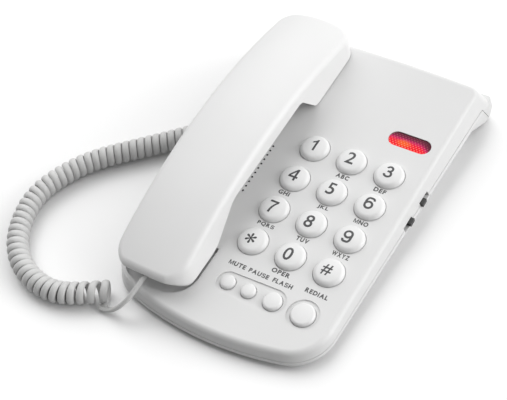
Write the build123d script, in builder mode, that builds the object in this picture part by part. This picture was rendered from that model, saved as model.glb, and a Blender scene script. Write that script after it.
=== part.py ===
from build123d import *
import math
import os

# Corded desk telephone. Sizes in millimetres, angles in degrees.
# Along the panel, x runs to the right, y to the back and z out of the panel,
# from the middle of the base on the line of the middle key row.

# Stance of the base on the table
PANEL_TILT = 4.3
PANEL_HEIGHT = 18.5
FOOT_HEIGHT = 1.0

# Outline of the panel, and how far the skirt has spread at its full depth
PANEL_HALF = 61.8
PANEL_FRONT = 98.3
PANEL_REAR = 95.8
FRONT_BOW = 11.0
REAR_BOW = 2.0
FRONT_CORNER = 22.0
REAR_CORNER = 5.0
EDGE_ROUND = 3.0
SKIRT_DEPTH = 12.0
FLARE_FRONT = 1.7
FLARE_REAR = 6.7
FLARE_NOSE = 4.3
FLARE_TAIL = 3.3
FLARE_CORNER = 3.0

# Walls, parting line and the band of the lower housing under it
WALL = 2.2
PANEL_WALL = 2.4
FLOOR_WALL = 1.8
PART_DEPTH = 7.2
PART_SLOPE = 0.015
PART_GAP = 0.3
BAND = 2.0
TRAY_INSET = 7.0
TRAY_TOP = 4.5

# Rear leg, as a profile along the panel, measured from the rear edge and the sides
LEG_RUN = 22.5
LEG_START_DEPTH = 12.5
LEG_TOP_DEPTH = 9.6
LAND_RUN = 5.0
LAND_PAST = 1.0
LEG_SPREAD = 5.1
LEG_CAVITY_INSET = 3.5
LEG_CAVITY_TOP = 6.0
TOE_DEPTH = 19.5
TOE_ROUND = 4.0
LEG_EDGE_ROUND = 2.0
SEAM_RISE = 8.5
SEAM_RUN = 0.53

# Keys
KEYPAD_FROM_RIGHT = 40.0
KEY_PITCH_X = 22.5
KEY_PITCH_Y = 21.78
KEY_RADIUS = 8.2
KEY_PROUD = 3.0
KEY_CROWN = 0.5
KEY_ROUND = 2.2
KEY_CLEARANCE = 0.3
KEY_RIM = 0.9
KEY_RIM_THICK = 1.0
KEY_STEM = 0.9
KEY_STEM_RADIUS = 2.6
BUTTON_Y = -70.0
BUTTON_PROUD = 1.6
BUTTON_CROWN = 0.3
BUTTON_ROUND = 1.2
TROUGH_DEPTH = 0.7
TROUGH_RIM = 2.2
DIAL_NAMES = (
    ("key_1", "key_2", "key_3"),
    ("key_4", "key_5", "key_6"),
    ("key_7", "key_8", "key_9"),
    ("key_star", "key_0", "key_hash"),
)
# Name, place from the middle key column and radius of each function button
BUTTONS = (
    ("mute_button", -21.7, 4.1),
    ("pause_button", -9.4, 4.1),
    ("flash_button", 4.8, 5.15),
    ("redial_button", 22.4, 6.45),
)

# Key mat, board and lamp
MAT_GAP = 0.3
MAT_SHEET = 0.8
MAT_DOME = 1.6
MAT_DOME_RADIUS = 3.2
MAT_DOME_SIDES = 8
BOARD_THICK = 1.6
BOARD_MARGIN = 8.5
BOARD_CORNER = 6.0
MAT_MARGIN = 3.6
BOARD_REAR = 56.0
BOARD_FRONT = -79.0
MAT_REAR = 33.0
POST_RADIUS = 3.0
BOARD_SCREW_RADIUS = 1.2
BOARD_SCREW_HEAD = 2.4
BOARD_SCREW_GRIP = 3.4
BOARD_SCREW_HEAD_THICK = 0.5
LENS_LENGTH = 24.5
LENS_WIDTH = 9.5
LENS_X = 22.2
LENS_Y = 45.9
LENS_RECESS = 0.5
LENS_FLANGE = 1.0
LENS_FIT = 0.15
LED_RADIUS = 2.5

# Ringer
RINGER_X = 8.0
RINGER_Y = -1.8
RINGER_RADIUS = 13.5
RINGER_THICK = 4.1
RINGER_HOLE = 0.65
RINGER_HOLE_SIDES = 6
RINGER_PITCH = 3.22
RINGER_ROWS = 3
RINGER_HOLES = 11
RINGER_ROW_PITCH = 6.0

# Slide switches in the right side: name, place of the knob at rest, way it slides
SWITCHES = (
    ("ringer_switch", 18.6, 1),
    ("dial_mode_switch", 5.1, -1),
)
SLOT_DEPTH = 7.4
SLOT_HEIGHT = 2.9
KNOB_LENGTH = 4.0
KNOB_HEIGHT = 2.3
KNOB_PROUD = 1.5
KNOB_TRAVEL = 4.0
KNOB_FIT = 0.3
KNOB_PLATE = 1.4
KNOB_LUG = 0.9
SWITCH_WIDTH = 4.6
SWITCH_LENGTH = 11.0
SWITCH_HEIGHT = 1.8

# Screws and feet of the base
BOSS_RADIUS = 3.5
BOSS_MEET = 7.4
SCREW_RADIUS = 1.4
SCREW_HEAD_RADIUS = 2.8
SCREW_HEAD = 1.4
SCREW_GRIP = 1.6
SCREW_REACH = 5.2
SCREW_FIT = 0.1
HEAD_FIT = 0.3
# Bosses: from the handset's middle, the keypad's middle, the right side and the left side
BOSS_FROM_HANDSET = (29.3, -84.0)
BOSS_FROM_KEYPAD = (8.2, -84.0)
BOSS_FROM_RIGHT = (12.8, 62.0)
BOSS_FROM_LEFT = (12.3, 4.0)
FOOT_RADIUS = 5.0
FOOT_SINK = 0.8
FOOT_FROM_SIDE = 13.8
FOOT_FRONT = -68.0
FOOT_REAR = 80.0

# Handset
HANDSET_FROM_LEFT = 25.0
HANDSET_EAR_END = 96.0
HANDSET_LENGTH = 187.0
HANDSET_EAR_HALF = 22.8
HANDSET_MOUTH_HALF = 21.6
EAR_BOW = 2.0
MOUTH_BOW = 3.0
EAR_CORNER = 11.0
MOUTH_CORNER = 15.0
BACK_RADIUS = 300.0
BACK_TOP = 30.0
BACK_Y = 4.0
CROWN_RADIUS = 68.0
BACK_ROUND = 4.0
BACK_REACH = 28.0
BACK_DEPTH = 36.0
SHELL = 2.2
SHELL_FIT = 0.15
JACK_GAP = 0.2
TAIL_BACK = 4.6
EAR_CLEAR = 0.7
MOUTH_CLEAR = 1.8
GRIP_CLEAR = 17.3
GRIP_FRONT = -34.0
GRIP_REAR = 36.0
MOUTH_SLOPE = 22.0
EAR_SLOPE = 12.0
GRIP_ROUND = (14.0, 14.0, 6.0, 6.0)
FACE_PLATE = 2.0
CHIN_HEIGHT = 12.0
CHIN_RUN = 8.0
CHIN_ROUND = 4.0

# Ear and mouth cups of the handset, and the wells of the base that take them
EAR_FROM_END = 25.0
EAR_CUP_RADIUS = 17.5
EAR_CUP_DROP = 4.5
CUP_WALL = 2.0
EAR_HOLES = 6
EAR_HOLE_RADIUS = 1.0
EAR_HOLE_RING = 6.0
WELL_CLEARANCE = 1.5
WELL_FLOOR = 1.8
WELL_GAP = 0.3
WELL_FRONT_SET = 1.0
WELL_END_GAP = 1.4
EAR_WELL_DEPTH = 5.5
MOUTH_WELL_DEPTH = 3.8
MIC_GAP = 0.3
MOUTH_CUP_WIDTH = 28.0
MOUTH_CUP_LENGTH = 16.0
MOUTH_CUP_ROUND = 7.0
MOUTH_CUP_DROP = 2.5
BOOT_RADIUS = 6.0
BOOT_HEIGHT = 7.5
MIC_RADIUS = 4.85
MIC_HEIGHT = 6.0
MIC_HOLE_RADIUS = 0.9
CAPSULE_RADIUS = 15.0
CAPSULE_HEIGHT = 8.0
GASKET_WIDTH = 4.0
GASKET_THICK = 1.5
WEIGHT_WIDTH = 14.0
WEIGHT_LENGTH = 42.0
WEIGHT_HEIGHT = 5.0
GRIP_SCREW_Y = 28.0
GRIP_BOSS_RADIUS = 3.0
GRIP_SCREW_RADIUS = 1.2
GRIP_SCREW_HEAD = 2.2
GRIP_SCREW_LENGTH = 6.0

# Hook plunger and hook switch
HOOK_FROM_EAR = 11.5
HOOK_WIDTH = 8.0
HOOK_LENGTH = 4.6
HOOK_GAP = 0.3
HOOK_ROUND = 0.9
HOOK_RISE = 4.0
HOOK_FLANGE = 2.0
HOOK_FLANGE_THICK = 1.2
HOOK_SWITCH_WIDTH = 13.0
HOOK_SWITCH_LENGTH = 6.0

# Modular jacks and plugs
PLUG_WIDTH = 7.65
PLUG_HEIGHT = 6.6
PLUG_LENGTH = 12.0
PLUG_TAIL = 2.0
PLUG_FIT = 0.2
JACK_WALL = 0.7
JACK_BACK = 1.2
JACK_DEEP = 9.8
LINE_WIDTH = 9.9
LINE_HEIGHT = 6.9
LINE_DEEP = 11.0
LINE_X = 25.0
LINE_DEPTH = 12.0
BASE_JACK_Y = 31.1
BASE_JACK_RISE = 4.3

# Curly cord: wire, coil and the points of its way over the table
WIRE = 3.2
WIRE_SIDES = 4
COIL_RADIUS = 4.55
COIL_HALF_TURNS = 93
COIL_OPENING = 2.2
COIL_OPEN_TURNS = 8
COIL_LIFT = 0.2
COIL_ROUTE = (
    (-72.5, 13.5),
    (-78.5, 9.0),
    (-88.2, -1.0),
    (-104.7, -16.1),
    (-120.2, -31.6),
    (-129.7, -49.1),
    (-133.7, -65.6),
    (-130.7, -81.1),
    (-122.7, -97.1),
    (-110.2, -108.1),
    (-95.7, -113.6),
    (-81.7, -114.1),
    (-69.2, -108.1),
    (-57.3, -100.6),
)
HANDSET_LEAD = (
    (-46.2, -106.6, 8.0),
    (-40.4, -103.4, 14.0),
)
BASE_LEAD = (
    (-65.0, 31.0, 7.1),
    (-69.6, 30.0, 8.0),
    (-73.6, 26.6, 9.6),
)
LEAD_RUN = 6.0
BEND_SHARE = 0.45
GAP_STEPS = 6

# Reach of a cut that passes right through
THROUGH = 150.0

os.makedirs("parts", exist_ok=True)

tilt = math.radians(PANEL_TILT)
toe_reach = PANEL_REAR + FLARE_TAIL * TOE_DEPTH / SKIRT_DEPTH
nose_depth = PART_DEPTH + BAND - PART_SLOPE * PANEL_FRONT
nose_reach = PANEL_FRONT + FLARE_NOSE * nose_depth / SKIRT_DEPTH
rear_end = toe_reach * math.cos(tilt) + TOE_DEPTH * math.sin(tilt)
front_end = nose_reach * math.cos(tilt) - nose_depth * math.sin(tilt)
panel = Plane(
    origin=(0, (front_end - rear_end) / 2, PANEL_HEIGHT),
    x_dir=(1, 0, 0),
    z_dir=(0, -math.sin(tilt), math.cos(tilt)),
)
up = Axis(panel.origin, panel.z_dir)

keypad_x = PANEL_HALF - KEYPAD_FROM_RIGHT
handset_x = HANDSET_FROM_LEFT - PANEL_HALF
mouth_end = HANDSET_EAR_END - HANDSET_LENGTH
ear_y = HANDSET_EAR_END - EAR_FROM_END
jack_low = MOUTH_CLEAR + FACE_PLATE + SHELL_FIT
jack_rise = jack_low + JACK_WALL + PLUG_FIT + PLUG_HEIGHT / 2
chin_drop = CHIN_HEIGHT - MOUTH_CLEAR
chin_wall = SHELL * math.hypot(CHIN_RUN, chin_drop) / chin_drop
jack_y = mouth_end + CHIN_RUN * (CHIN_HEIGHT - jack_low) / chin_drop + chin_wall + JACK_GAP
mic_y = jack_y + JACK_DEEP + JACK_BACK + MIC_GAP + BOOT_RADIUS
well_end = mic_y + MOUTH_CUP_LENGTH / 2 + WELL_END_GAP
leg_start = PANEL_REAR - LEG_RUN
leg_land = PANEL_REAR - LAND_RUN
leg_land_end = PANEL_REAR + LAND_PAST
seam_start = PANEL_REAR - SEAM_RISE
boss_places = (
    (handset_x + BOSS_FROM_HANDSET[0], BOSS_FROM_HANDSET[1]),
    (keypad_x + BOSS_FROM_KEYPAD[0], BOSS_FROM_KEYPAD[1]),
    (PANEL_HALF - BOSS_FROM_RIGHT[0], BOSS_FROM_RIGHT[1]),
    (BOSS_FROM_LEFT[0] - PANEL_HALF, BOSS_FROM_LEFT[1]),
)
foot_x = PANEL_HALF - FOOT_FROM_SIDE
foot_places = ((-foot_x, FOOT_FRONT), (foot_x, FOOT_FRONT), (-foot_x, FOOT_REAR), (foot_x, FOOT_REAR))
key_spots = [
    (name, keypad_x + (column - 1) * KEY_PITCH_X, (1 - row) * KEY_PITCH_Y)
    for row, names in enumerate(DIAL_NAMES)
    for column, name in enumerate(names)
]
button_spots = [(name, keypad_x + x, BUTTON_Y, radius) for name, x, radius in BUTTONS]

# Levels under the panel, from the keys down to the board
rim_top = -PANEL_WALL - KEY_CLEARANCE
stem_end = rim_top - KEY_RIM_THICK - KEY_STEM
mat_top = stem_end - MAT_GAP - MAT_DOME
board_top = mat_top - MAT_SHEET
board_under = board_top - BOARD_THICK
board_left = keypad_x - KEY_PITCH_X - BOARD_MARGIN
board_right = keypad_x + KEY_PITCH_X + BOARD_MARGIN
switch_x = board_right
hole_width = PLUG_WIDTH + 2 * PLUG_FIT
hole_height = PLUG_HEIGHT + 2 * PLUG_FIT


def at(x, y, z=0.0):
    """A point given along the panel, in the frame of the whole telephone."""
    return panel.from_local_coords(Vector(x, y, z))


def spot(x, y, z=0.0):
    """A plane along the panel with its origin at a point of the panel."""
    return Plane(origin=at(x, y, z), x_dir=panel.x_dir, z_dir=panel.z_dir)


def side_plane(x):
    """The upright plane that shows the telephone from its right side."""
    return Plane(origin=at(x, 0), x_dir=panel.y_dir, z_dir=panel.x_dir)


def table_depth(y, height):
    """How far z lies from the panel at a height over the table."""
    return (height - PANEL_HEIGHT - y * math.sin(tilt)) / math.cos(tilt)


def skirt_half(y, depth):
    """Half the width of the skirt at a place along it and a depth."""
    share = (y + PANEL_FRONT - FRONT_BOW) / (PANEL_FRONT - FRONT_BOW + PANEL_REAR)
    flare = FLARE_FRONT + (FLARE_REAR - FLARE_FRONT) * share
    return PANEL_HALF + flare * depth / SKIRT_DEPTH


def rear_wall(depth):
    """Place of the outside of the rear wall at a depth."""
    return PANEL_REAR + FLARE_TAIL * depth / SKIRT_DEPTH


def sloped_plane(depth):
    """A plane at the lean of the parting line, at a depth under the middle row."""
    normal = at(0, PART_SLOPE, 1) - at(0, 0, 0)
    return Plane(origin=at(0, 0, -depth), x_dir=(1, 0, 0), z_dir=normal)


def base_outline(depth, inset):
    """Outline of the base at a depth under the panel, drawn in by inset."""
    share = depth / SKIRT_DEPTH
    front_half = PANEL_HALF + share * FLARE_FRONT
    rear_half = PANEL_HALF + share * FLARE_REAR
    front = -PANEL_FRONT - share * FLARE_NOSE
    rear = PANEL_REAR + share * FLARE_TAIL
    with BuildSketch(panel.offset(-depth)) as outline:
        with BuildLine():
            nose = ThreePointArc(
                (-front_half, front + FRONT_BOW), (0, front), (front_half, front + FRONT_BOW)
            )
            right = Line(nose @ 1, (rear_half, rear - REAR_BOW))
            back = ThreePointArc(right @ 1, (0, rear), (-rear_half, rear - REAR_BOW))
            Line(back @ 1, nose @ 0)
        make_face()
        fillet(outline.vertices().group_by(Axis.Y)[0], FRONT_CORNER + share * FLARE_CORNER)
        fillet(outline.vertices().group_by(Axis.Y)[-1], REAR_CORNER)
        if inset:
            offset(amount=-inset)
    return outline.sketch


def base_volume(wall, skin, floor):
    """The closed volume of the base, drawn in by a wall, a panel skin and a floor."""
    with BuildPart() as slab:
        loft([base_outline(SKIRT_DEPTH, wall), base_outline(skin, wall)], ruled=True)
        split(bisect_by=sloped_plane(PART_DEPTH + BAND - wall), keep=Keep.TOP)
        if not wall:
            fillet(slab.faces().sort_by(up)[-1].edges(), EDGE_ROUND)
    with BuildPart() as tray:
        extrude(base_outline(TRAY_TOP, TRAY_INSET + wall), amount=THROUGH, dir=(0, 0, -1))
        split(bisect_by=Plane.XY.offset(FOOT_HEIGHT + floor), keep=Keep.TOP)
    with BuildPart() as leg:
        top = LEG_CAVITY_TOP if wall else LEG_TOP_DEPTH
        half = PANEL_HALF - LEG_CAVITY_INSET if wall else PANEL_HALF + LEG_SPREAD
        land = table_depth(leg_land, FOOT_HEIGHT + floor)
        land_end = table_depth(leg_land_end, FOOT_HEIGHT + floor)
        with BuildSketch(side_plane(0)) as profile:
            with BuildLine():
                Polyline(
                    (leg_start + wall, -top),
                    (leg_start + wall, -LEG_START_DEPTH + wall),
                    (leg_land + wall, land),
                    (leg_land_end - wall, land_end),
                    (rear_wall(TOE_DEPTH) - wall, -TOE_DEPTH),
                    (rear_wall(top) - wall, -top),
                    close=True,
                )
            make_face()
            low = profile.vertices().filter_by(lambda corner: corner.Y < -TOE_DEPTH + TOE_ROUND)
            fillet(low.filter_by(lambda corner: corner.X > leg_land + TOE_ROUND), TOE_ROUND)
        extrude(amount=half, both=True)
        if not wall:
            sides = leg.faces().sort_by(Axis.X)
            ends = ShapeList(sides[0].edges() + sides[-1].edges())
            low_line = -LEG_START_DEPTH - WALL
            under = ends.filter_by(lambda edge: panel.to_local_coords(edge.center()).Z < low_line)
            fillet(under, LEG_EDGE_ROUND)
    with BuildPart() as volume:
        add(slab.part)
        add(tray.part)
        add(leg.part)
    return volume.part


def parting_side(upper):
    """The side of the parting line that one housing keeps, as a profile."""
    gap = 0.0 if upper else PART_GAP
    far = THROUGH if upper else -THROUGH
    start = -PART_DEPTH + PART_SLOPE * THROUGH - gap
    turn = -PART_DEPTH - PART_SLOPE * seam_start - gap
    foot = seam_start + SEAM_RUN * (THROUGH + turn)
    with BuildSketch(side_plane(0)) as side:
        with BuildLine():
            if upper:
                Polyline(
                    (-THROUGH, start), (seam_start, turn), (foot, -THROUGH),
                    (far + foot, -THROUGH), (far + foot, far), (-THROUGH, far), close=True,
                )
            else:
                Polyline(
                    (-THROUGH, start), (seam_start - gap, turn), (foot - gap, far), (-THROUGH, far),
                    close=True,
                )
        make_face()
    return side.sketch


def handset_outline(inset, level):
    """Outline of the handset from above, on a plane over the panel."""
    with BuildSketch(panel.offset(level)) as outline:
        with BuildLine():
            ear_side = HANDSET_EAR_END - EAR_BOW
            mouth_side = mouth_end + MOUTH_BOW
            ear = ThreePointArc(
                (handset_x - HANDSET_EAR_HALF, ear_side),
                (handset_x, HANDSET_EAR_END),
                (handset_x + HANDSET_EAR_HALF, ear_side),
            )
            right = Line(ear @ 1, (handset_x + HANDSET_MOUTH_HALF, mouth_side))
            mouth = ThreePointArc(
                right @ 1, (handset_x, mouth_end), (handset_x - HANDSET_MOUTH_HALF, mouth_side)
            )
            Line(mouth @ 1, ear @ 0)
        make_face()
        fillet(outline.vertices().group_by(Axis.Y)[-1], EAR_CORNER)
        fillet(outline.vertices().group_by(Axis.Y)[0], MOUTH_CORNER)
        if inset:
            offset(amount=-inset)
    return outline.sketch


def handset_arch(drop):
    """The solid under the arched and crowned back of the handset."""
    radius = BACK_RADIUS - drop
    sag = BACK_REACH**2 / (2 * (CROWN_RADIUS - drop))
    hub = at(0, BACK_Y, BACK_TOP - BACK_RADIUS)
    with BuildPart() as arch:
        with BuildSketch(Plane(origin=hub, x_dir=panel.x_dir, z_dir=panel.z_dir)):
            with BuildLine():
                crown = ThreePointArc(
                    (handset_x - BACK_REACH, sag - radius),
                    (handset_x, -radius),
                    (handset_x + BACK_REACH, sag - radius),
                )
                Polyline(
                    crown @ 1,
                    (handset_x + BACK_REACH, BACK_DEPTH - radius),
                    (handset_x - BACK_REACH, BACK_DEPTH - radius),
                    crown @ 0,
                )
            make_face()
        revolve(axis=Axis(hub, -panel.x_dir), revolution_arc=180)
    return arch.part


def chin_plane(inset):
    """The slanted plane under the mouth end of the handset, drawn in by inset."""
    outward = at(0, MOUTH_CLEAR - CHIN_HEIGHT, -CHIN_RUN) - at(0, 0, 0)
    face = Plane(origin=at(handset_x, mouth_end, CHIN_HEIGHT), x_dir=panel.x_dir, z_dir=outward)
    return face.offset(-inset)


def underside(rise):
    """Corners of the handset's underside from its mouth end to its ear end."""
    return (
        (-THROUGH, MOUTH_CLEAR + rise),
        (GRIP_FRONT - MOUTH_SLOPE, MOUTH_CLEAR + rise),
        (GRIP_FRONT, GRIP_CLEAR + rise),
        (GRIP_REAR, GRIP_CLEAR + rise),
        (GRIP_REAR + EAR_SLOPE, EAR_CLEAR + rise),
        (THROUGH, EAR_CLEAR + rise),
    )


def push_button(place, radius, proud, crown, rounding):
    """A domed button with a rim under the panel and a stem on the key mat."""
    section = Plane(origin=place.origin, x_dir=panel.x_dir, z_dir=-panel.y_dir)
    rim = radius + KEY_RIM
    rim_end = rim_top - KEY_RIM_THICK
    with BuildPart() as button:
        with BuildSketch(section):
            with BuildLine():
                dome = ThreePointArc(
                    (0, proud),
                    ((radius - rounding) / 2, proud - crown / 4),
                    (radius - rounding, proud - crown),
                )
                edge = TangentArc(dome @ 1, (radius, proud - crown - rounding), tangent=dome % 1)
                Polyline(
                    edge @ 1, (radius, rim_top), (rim, rim_top), (rim, rim_end),
                    (KEY_STEM_RADIUS, rim_end), (KEY_STEM_RADIUS, stem_end), (0, stem_end), (0, proud),
                )
            make_face()
        revolve(axis=Axis(place.origin, place.z_dir))
    return button.part


def jack_body(mouth, width, height, deep):
    """A modular socket that opens along the z axis of its plane."""
    with BuildPart() as jack:
        with BuildSketch(mouth):
            Rectangle(width + 2 * JACK_WALL, height + 2 * JACK_WALL)
        extrude(amount=-deep - JACK_BACK)
        with BuildSketch(mouth):
            Rectangle(width, height)
        extrude(amount=-deep, mode=Mode.SUBTRACT)
    return jack.part


def plug_body(tail):
    """A modular plug whose tail end lies on a plane and faces along its z axis."""
    with BuildPart() as plug:
        with BuildSketch(tail):
            Rectangle(PLUG_WIDTH, PLUG_HEIGHT)
        extrude(amount=-PLUG_LENGTH - PLUG_TAIL)
    return plug.part


# Base housings: a hollow form parted along the parting line
with BuildPart() as base_shell:
    add(base_volume(0.0, 0.0, 0.0))
    add(base_volume(WALL, PANEL_WALL, FLOOR_WALL), mode=Mode.SUBTRACT)
    for name, y, way in SWITCHES:
        middle = y + way * KNOB_TRAVEL / 2
        outside = skirt_half(y, SLOT_DEPTH)
        slot = Plane(origin=at(outside, middle, -SLOT_DEPTH), x_dir=panel.y_dir, z_dir=panel.x_dir)
        with BuildSketch(slot):
            Rectangle(KNOB_TRAVEL + KNOB_LENGTH + 2 * KNOB_FIT, SLOT_HEIGHT)
        extrude(amount=WALL, mode=Mode.SUBTRACT)
        with BuildSketch(slot):
            Rectangle(KNOB_TRAVEL + KNOB_LENGTH + 2 * KNOB_FIT, SLOT_HEIGHT)
        extrude(amount=switch_x - outside, mode=Mode.SUBTRACT)

line_place = at(LINE_X, rear_wall(LINE_DEPTH), -LINE_DEPTH)
line_mouth = Plane(origin=line_place, x_dir=panel.x_dir, z_dir=panel.y_dir)
ear_floor = EAR_WELL_DEPTH + WELL_FLOOR
hook_y = ear_y - HOOK_FROM_EAR

with BuildPart() as base_top_housing:
    add(base_shell.part)
    extrude(parting_side(True), amount=THROUGH, both=True, mode=Mode.INTERSECT)
    with BuildSketch(spot(handset_x, ear_y)):
        Circle(EAR_CUP_RADIUS + WELL_CLEARANCE + WALL)
    extrude(amount=-ear_floor)
    with BuildSketch(panel.offset(-WELL_GAP)) as mouth_block:
        add(handset_outline(-WELL_GAP - WALL, 0.0).moved(Location(panel.y_dir * WELL_FRONT_SET)))
        with Locations((handset_x, well_end + WALL - THROUGH / 2)):
            Rectangle(THROUGH, THROUGH, mode=Mode.INTERSECT)
    extrude(amount=-MOUTH_WELL_DEPTH - WELL_FLOOR + WELL_GAP)
    for x, y in boss_places:
        with BuildSketch(spot(x, y, -PANEL_WALL / 2)):
            Circle(BOSS_RADIUS)
        extrude(amount=PANEL_WALL / 2 - BOSS_MEET)
    with BuildSketch(spot(keypad_x, -KEY_PITCH_Y / 2, -PANEL_WALL / 2)):
        with GridLocations(KEY_PITCH_X, 2 * KEY_PITCH_Y, 2, 2):
            Circle(POST_RADIUS)
    extrude(amount=board_top + PANEL_WALL / 2)
    with BuildSketch(spot(handset_x, ear_y)):
        Circle(EAR_CUP_RADIUS + WELL_CLEARANCE)
    extrude(amount=-EAR_WELL_DEPTH, mode=Mode.SUBTRACT)
    with BuildSketch(panel) as mouth_well:
        add(handset_outline(-WELL_GAP, 0.0).moved(Location(panel.y_dir * WELL_FRONT_SET)))
        with Locations((handset_x, well_end - THROUGH / 2)):
            Rectangle(THROUGH, THROUGH, mode=Mode.INTERSECT)
    extrude(amount=-MOUTH_WELL_DEPTH, mode=Mode.SUBTRACT)
    with BuildSketch(spot(handset_x, hook_y)):
        Rectangle(HOOK_WIDTH + 2 * HOOK_GAP, HOOK_LENGTH + 2 * HOOK_GAP)
    extrude(amount=-2 * ear_floor, mode=Mode.SUBTRACT)
    with BuildSketch(panel):
        for name, x, y in key_spots:
            with Locations((x, y)):
                Circle(KEY_RADIUS + KEY_CLEARANCE)
        for name, x, y, radius in button_spots:
            with Locations((x, y)):
                Circle(radius + KEY_CLEARANCE)
        with Locations((keypad_x + LENS_X, LENS_Y)):
            SlotOverall(LENS_LENGTH, LENS_WIDTH)
        with Locations((handset_x + RINGER_X, RINGER_Y)):
            with GridLocations(RINGER_ROW_PITCH, RINGER_PITCH, RINGER_ROWS, RINGER_HOLES):
                RegularPolygon(RINGER_HOLE, RINGER_HOLE_SIDES)
    extrude(amount=-PANEL_WALL - WALL, mode=Mode.SUBTRACT)
    with BuildSketch(panel):
        with BuildSketch(panel, mode=Mode.PRIVATE) as trough:
            for name, x, y, radius in (button_spots[0], button_spots[2]):
                with Locations((x, y)):
                    Circle(radius + TROUGH_RIM)
            make_hull()
        add(trough.sketch_local)
        with Locations(button_spots[3][1:3]):
            Circle(button_spots[3][3] + TROUGH_RIM)
    extrude(amount=-TROUGH_DEPTH, mode=Mode.SUBTRACT)
    with BuildSketch(panel.offset(-BOSS_MEET)):
        with Locations(*boss_places):
            Circle(SCREW_RADIUS + SCREW_FIT)
    extrude(amount=SCREW_REACH, mode=Mode.SUBTRACT)
    with BuildSketch(spot(keypad_x, -KEY_PITCH_Y / 2, board_top)):
        with GridLocations(KEY_PITCH_X, 2 * KEY_PITCH_Y, 2, 2):
            Circle(BOARD_SCREW_RADIUS + SCREW_FIT)
    extrude(amount=BOARD_SCREW_GRIP + SCREW_FIT, mode=Mode.SUBTRACT)
    with BuildSketch(line_mouth):
        Rectangle(LINE_WIDTH, LINE_HEIGHT)
    extrude(amount=2 * WALL, both=True, mode=Mode.SUBTRACT)
base_top_housing.part.label = "base_top_housing"
export_step(base_top_housing.part, "parts/base_top_housing.step")

tray_half = skirt_half(BASE_JACK_Y, TRAY_TOP) - TRAY_INSET
jack_height = FOOT_HEIGHT + FLOOR_WALL + BASE_JACK_RISE
base_jack_mouth = Plane(
    origin=(WALL + PART_GAP - tray_half, BASE_JACK_Y, jack_height), x_dir=(0, -1, 0), z_dir=(-1, 0, 0)
)

with BuildPart() as base_bottom_housing:
    add(base_shell.part)
    extrude(parting_side(False), amount=THROUGH, both=True, mode=Mode.INTERSECT)
    for x, y in boss_places:
        with BuildSketch(spot(x, y, -BOSS_MEET - PART_GAP)):
            Circle(BOSS_RADIUS)
        extrude(amount=table_depth(y, FOOT_HEIGHT + FLOOR_WALL / 2) + BOSS_MEET + PART_GAP)
    with BuildSketch(panel.offset(-BOSS_MEET)):
        with Locations(*boss_places):
            Circle(SCREW_RADIUS + HEAD_FIT)
    extrude(amount=-THROUGH, mode=Mode.SUBTRACT)
    with BuildSketch(panel.offset(-BOSS_MEET - PART_GAP - SCREW_GRIP)):
        with Locations(*boss_places):
            Circle(SCREW_HEAD_RADIUS + HEAD_FIT)
    extrude(amount=-THROUGH, mode=Mode.SUBTRACT)
    with BuildSketch(Plane.XY.offset(FOOT_HEIGHT)):
        with Locations(*foot_places):
            Circle(FOOT_RADIUS + PLUG_FIT)
    extrude(amount=FOOT_SINK, mode=Mode.SUBTRACT)
    with BuildSketch(base_jack_mouth):
        Rectangle(hole_width, hole_height)
    extrude(amount=2 * WALL, both=True, mode=Mode.SUBTRACT)
base_bottom_housing.part.label = "base_bottom_housing"
export_step(base_bottom_housing.part, "parts/base_bottom_housing.step")

with BuildPart() as rubber_feet:
    with BuildSketch(Plane.XY):
        with Locations(*foot_places):
            Circle(FOOT_RADIUS)
    extrude(amount=FOOT_HEIGHT + FOOT_SINK)
rubber_feet.part.label = "rubber_feet"
export_step(rubber_feet.part, "parts/rubber_feet.step")

head_under = -BOSS_MEET - PART_GAP - SCREW_GRIP - SCREW_HEAD
with BuildPart() as housing_screws:
    with BuildSketch(panel.offset(head_under)):
        with Locations(*boss_places):
            Circle(SCREW_HEAD_RADIUS)
    extrude(amount=SCREW_HEAD)
    with BuildSketch(panel.offset(head_under)):
        with Locations(*boss_places):
            Circle(SCREW_RADIUS)
    extrude(amount=SCREW_HEAD + SCREW_GRIP + PART_GAP + SCREW_REACH - SCREW_FIT)
housing_screws.part.label = "housing_screws"
export_step(housing_screws.part, "parts/housing_screws.step")

# Board, held under the panel, with the slide switches at its right edge
with BuildPart() as main_board:
    with BuildSketch(panel.offset(board_under)):
        with Locations(((board_left + board_right) / 2, (BOARD_REAR + BOARD_FRONT) / 2)):
            RectangleRounded(board_right - board_left, BOARD_REAR - BOARD_FRONT, BOARD_CORNER)
        with Locations((keypad_x, -KEY_PITCH_Y / 2)):
            with GridLocations(KEY_PITCH_X, 2 * KEY_PITCH_Y, 2, 2):
                Circle(BOARD_SCREW_RADIUS + SCREW_FIT, mode=Mode.SUBTRACT)
    extrude(amount=BOARD_THICK)
main_board.part.label = "main_board"
export_step(main_board.part, "parts/main_board.step")

with BuildPart() as board_screws:
    with BuildSketch(spot(keypad_x, -KEY_PITCH_Y / 2, board_under)):
        with GridLocations(KEY_PITCH_X, 2 * KEY_PITCH_Y, 2, 2):
            Circle(BOARD_SCREW_HEAD)
    extrude(amount=-BOARD_SCREW_HEAD_THICK)
    with BuildSketch(spot(keypad_x, -KEY_PITCH_Y / 2, board_under)):
        with GridLocations(KEY_PITCH_X, 2 * KEY_PITCH_Y, 2, 2):
            Circle(BOARD_SCREW_RADIUS)
    extrude(amount=BOARD_THICK + BOARD_SCREW_GRIP)
board_screws.part.label = "board_screws"
export_step(board_screws.part, "parts/board_screws.step")

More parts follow.
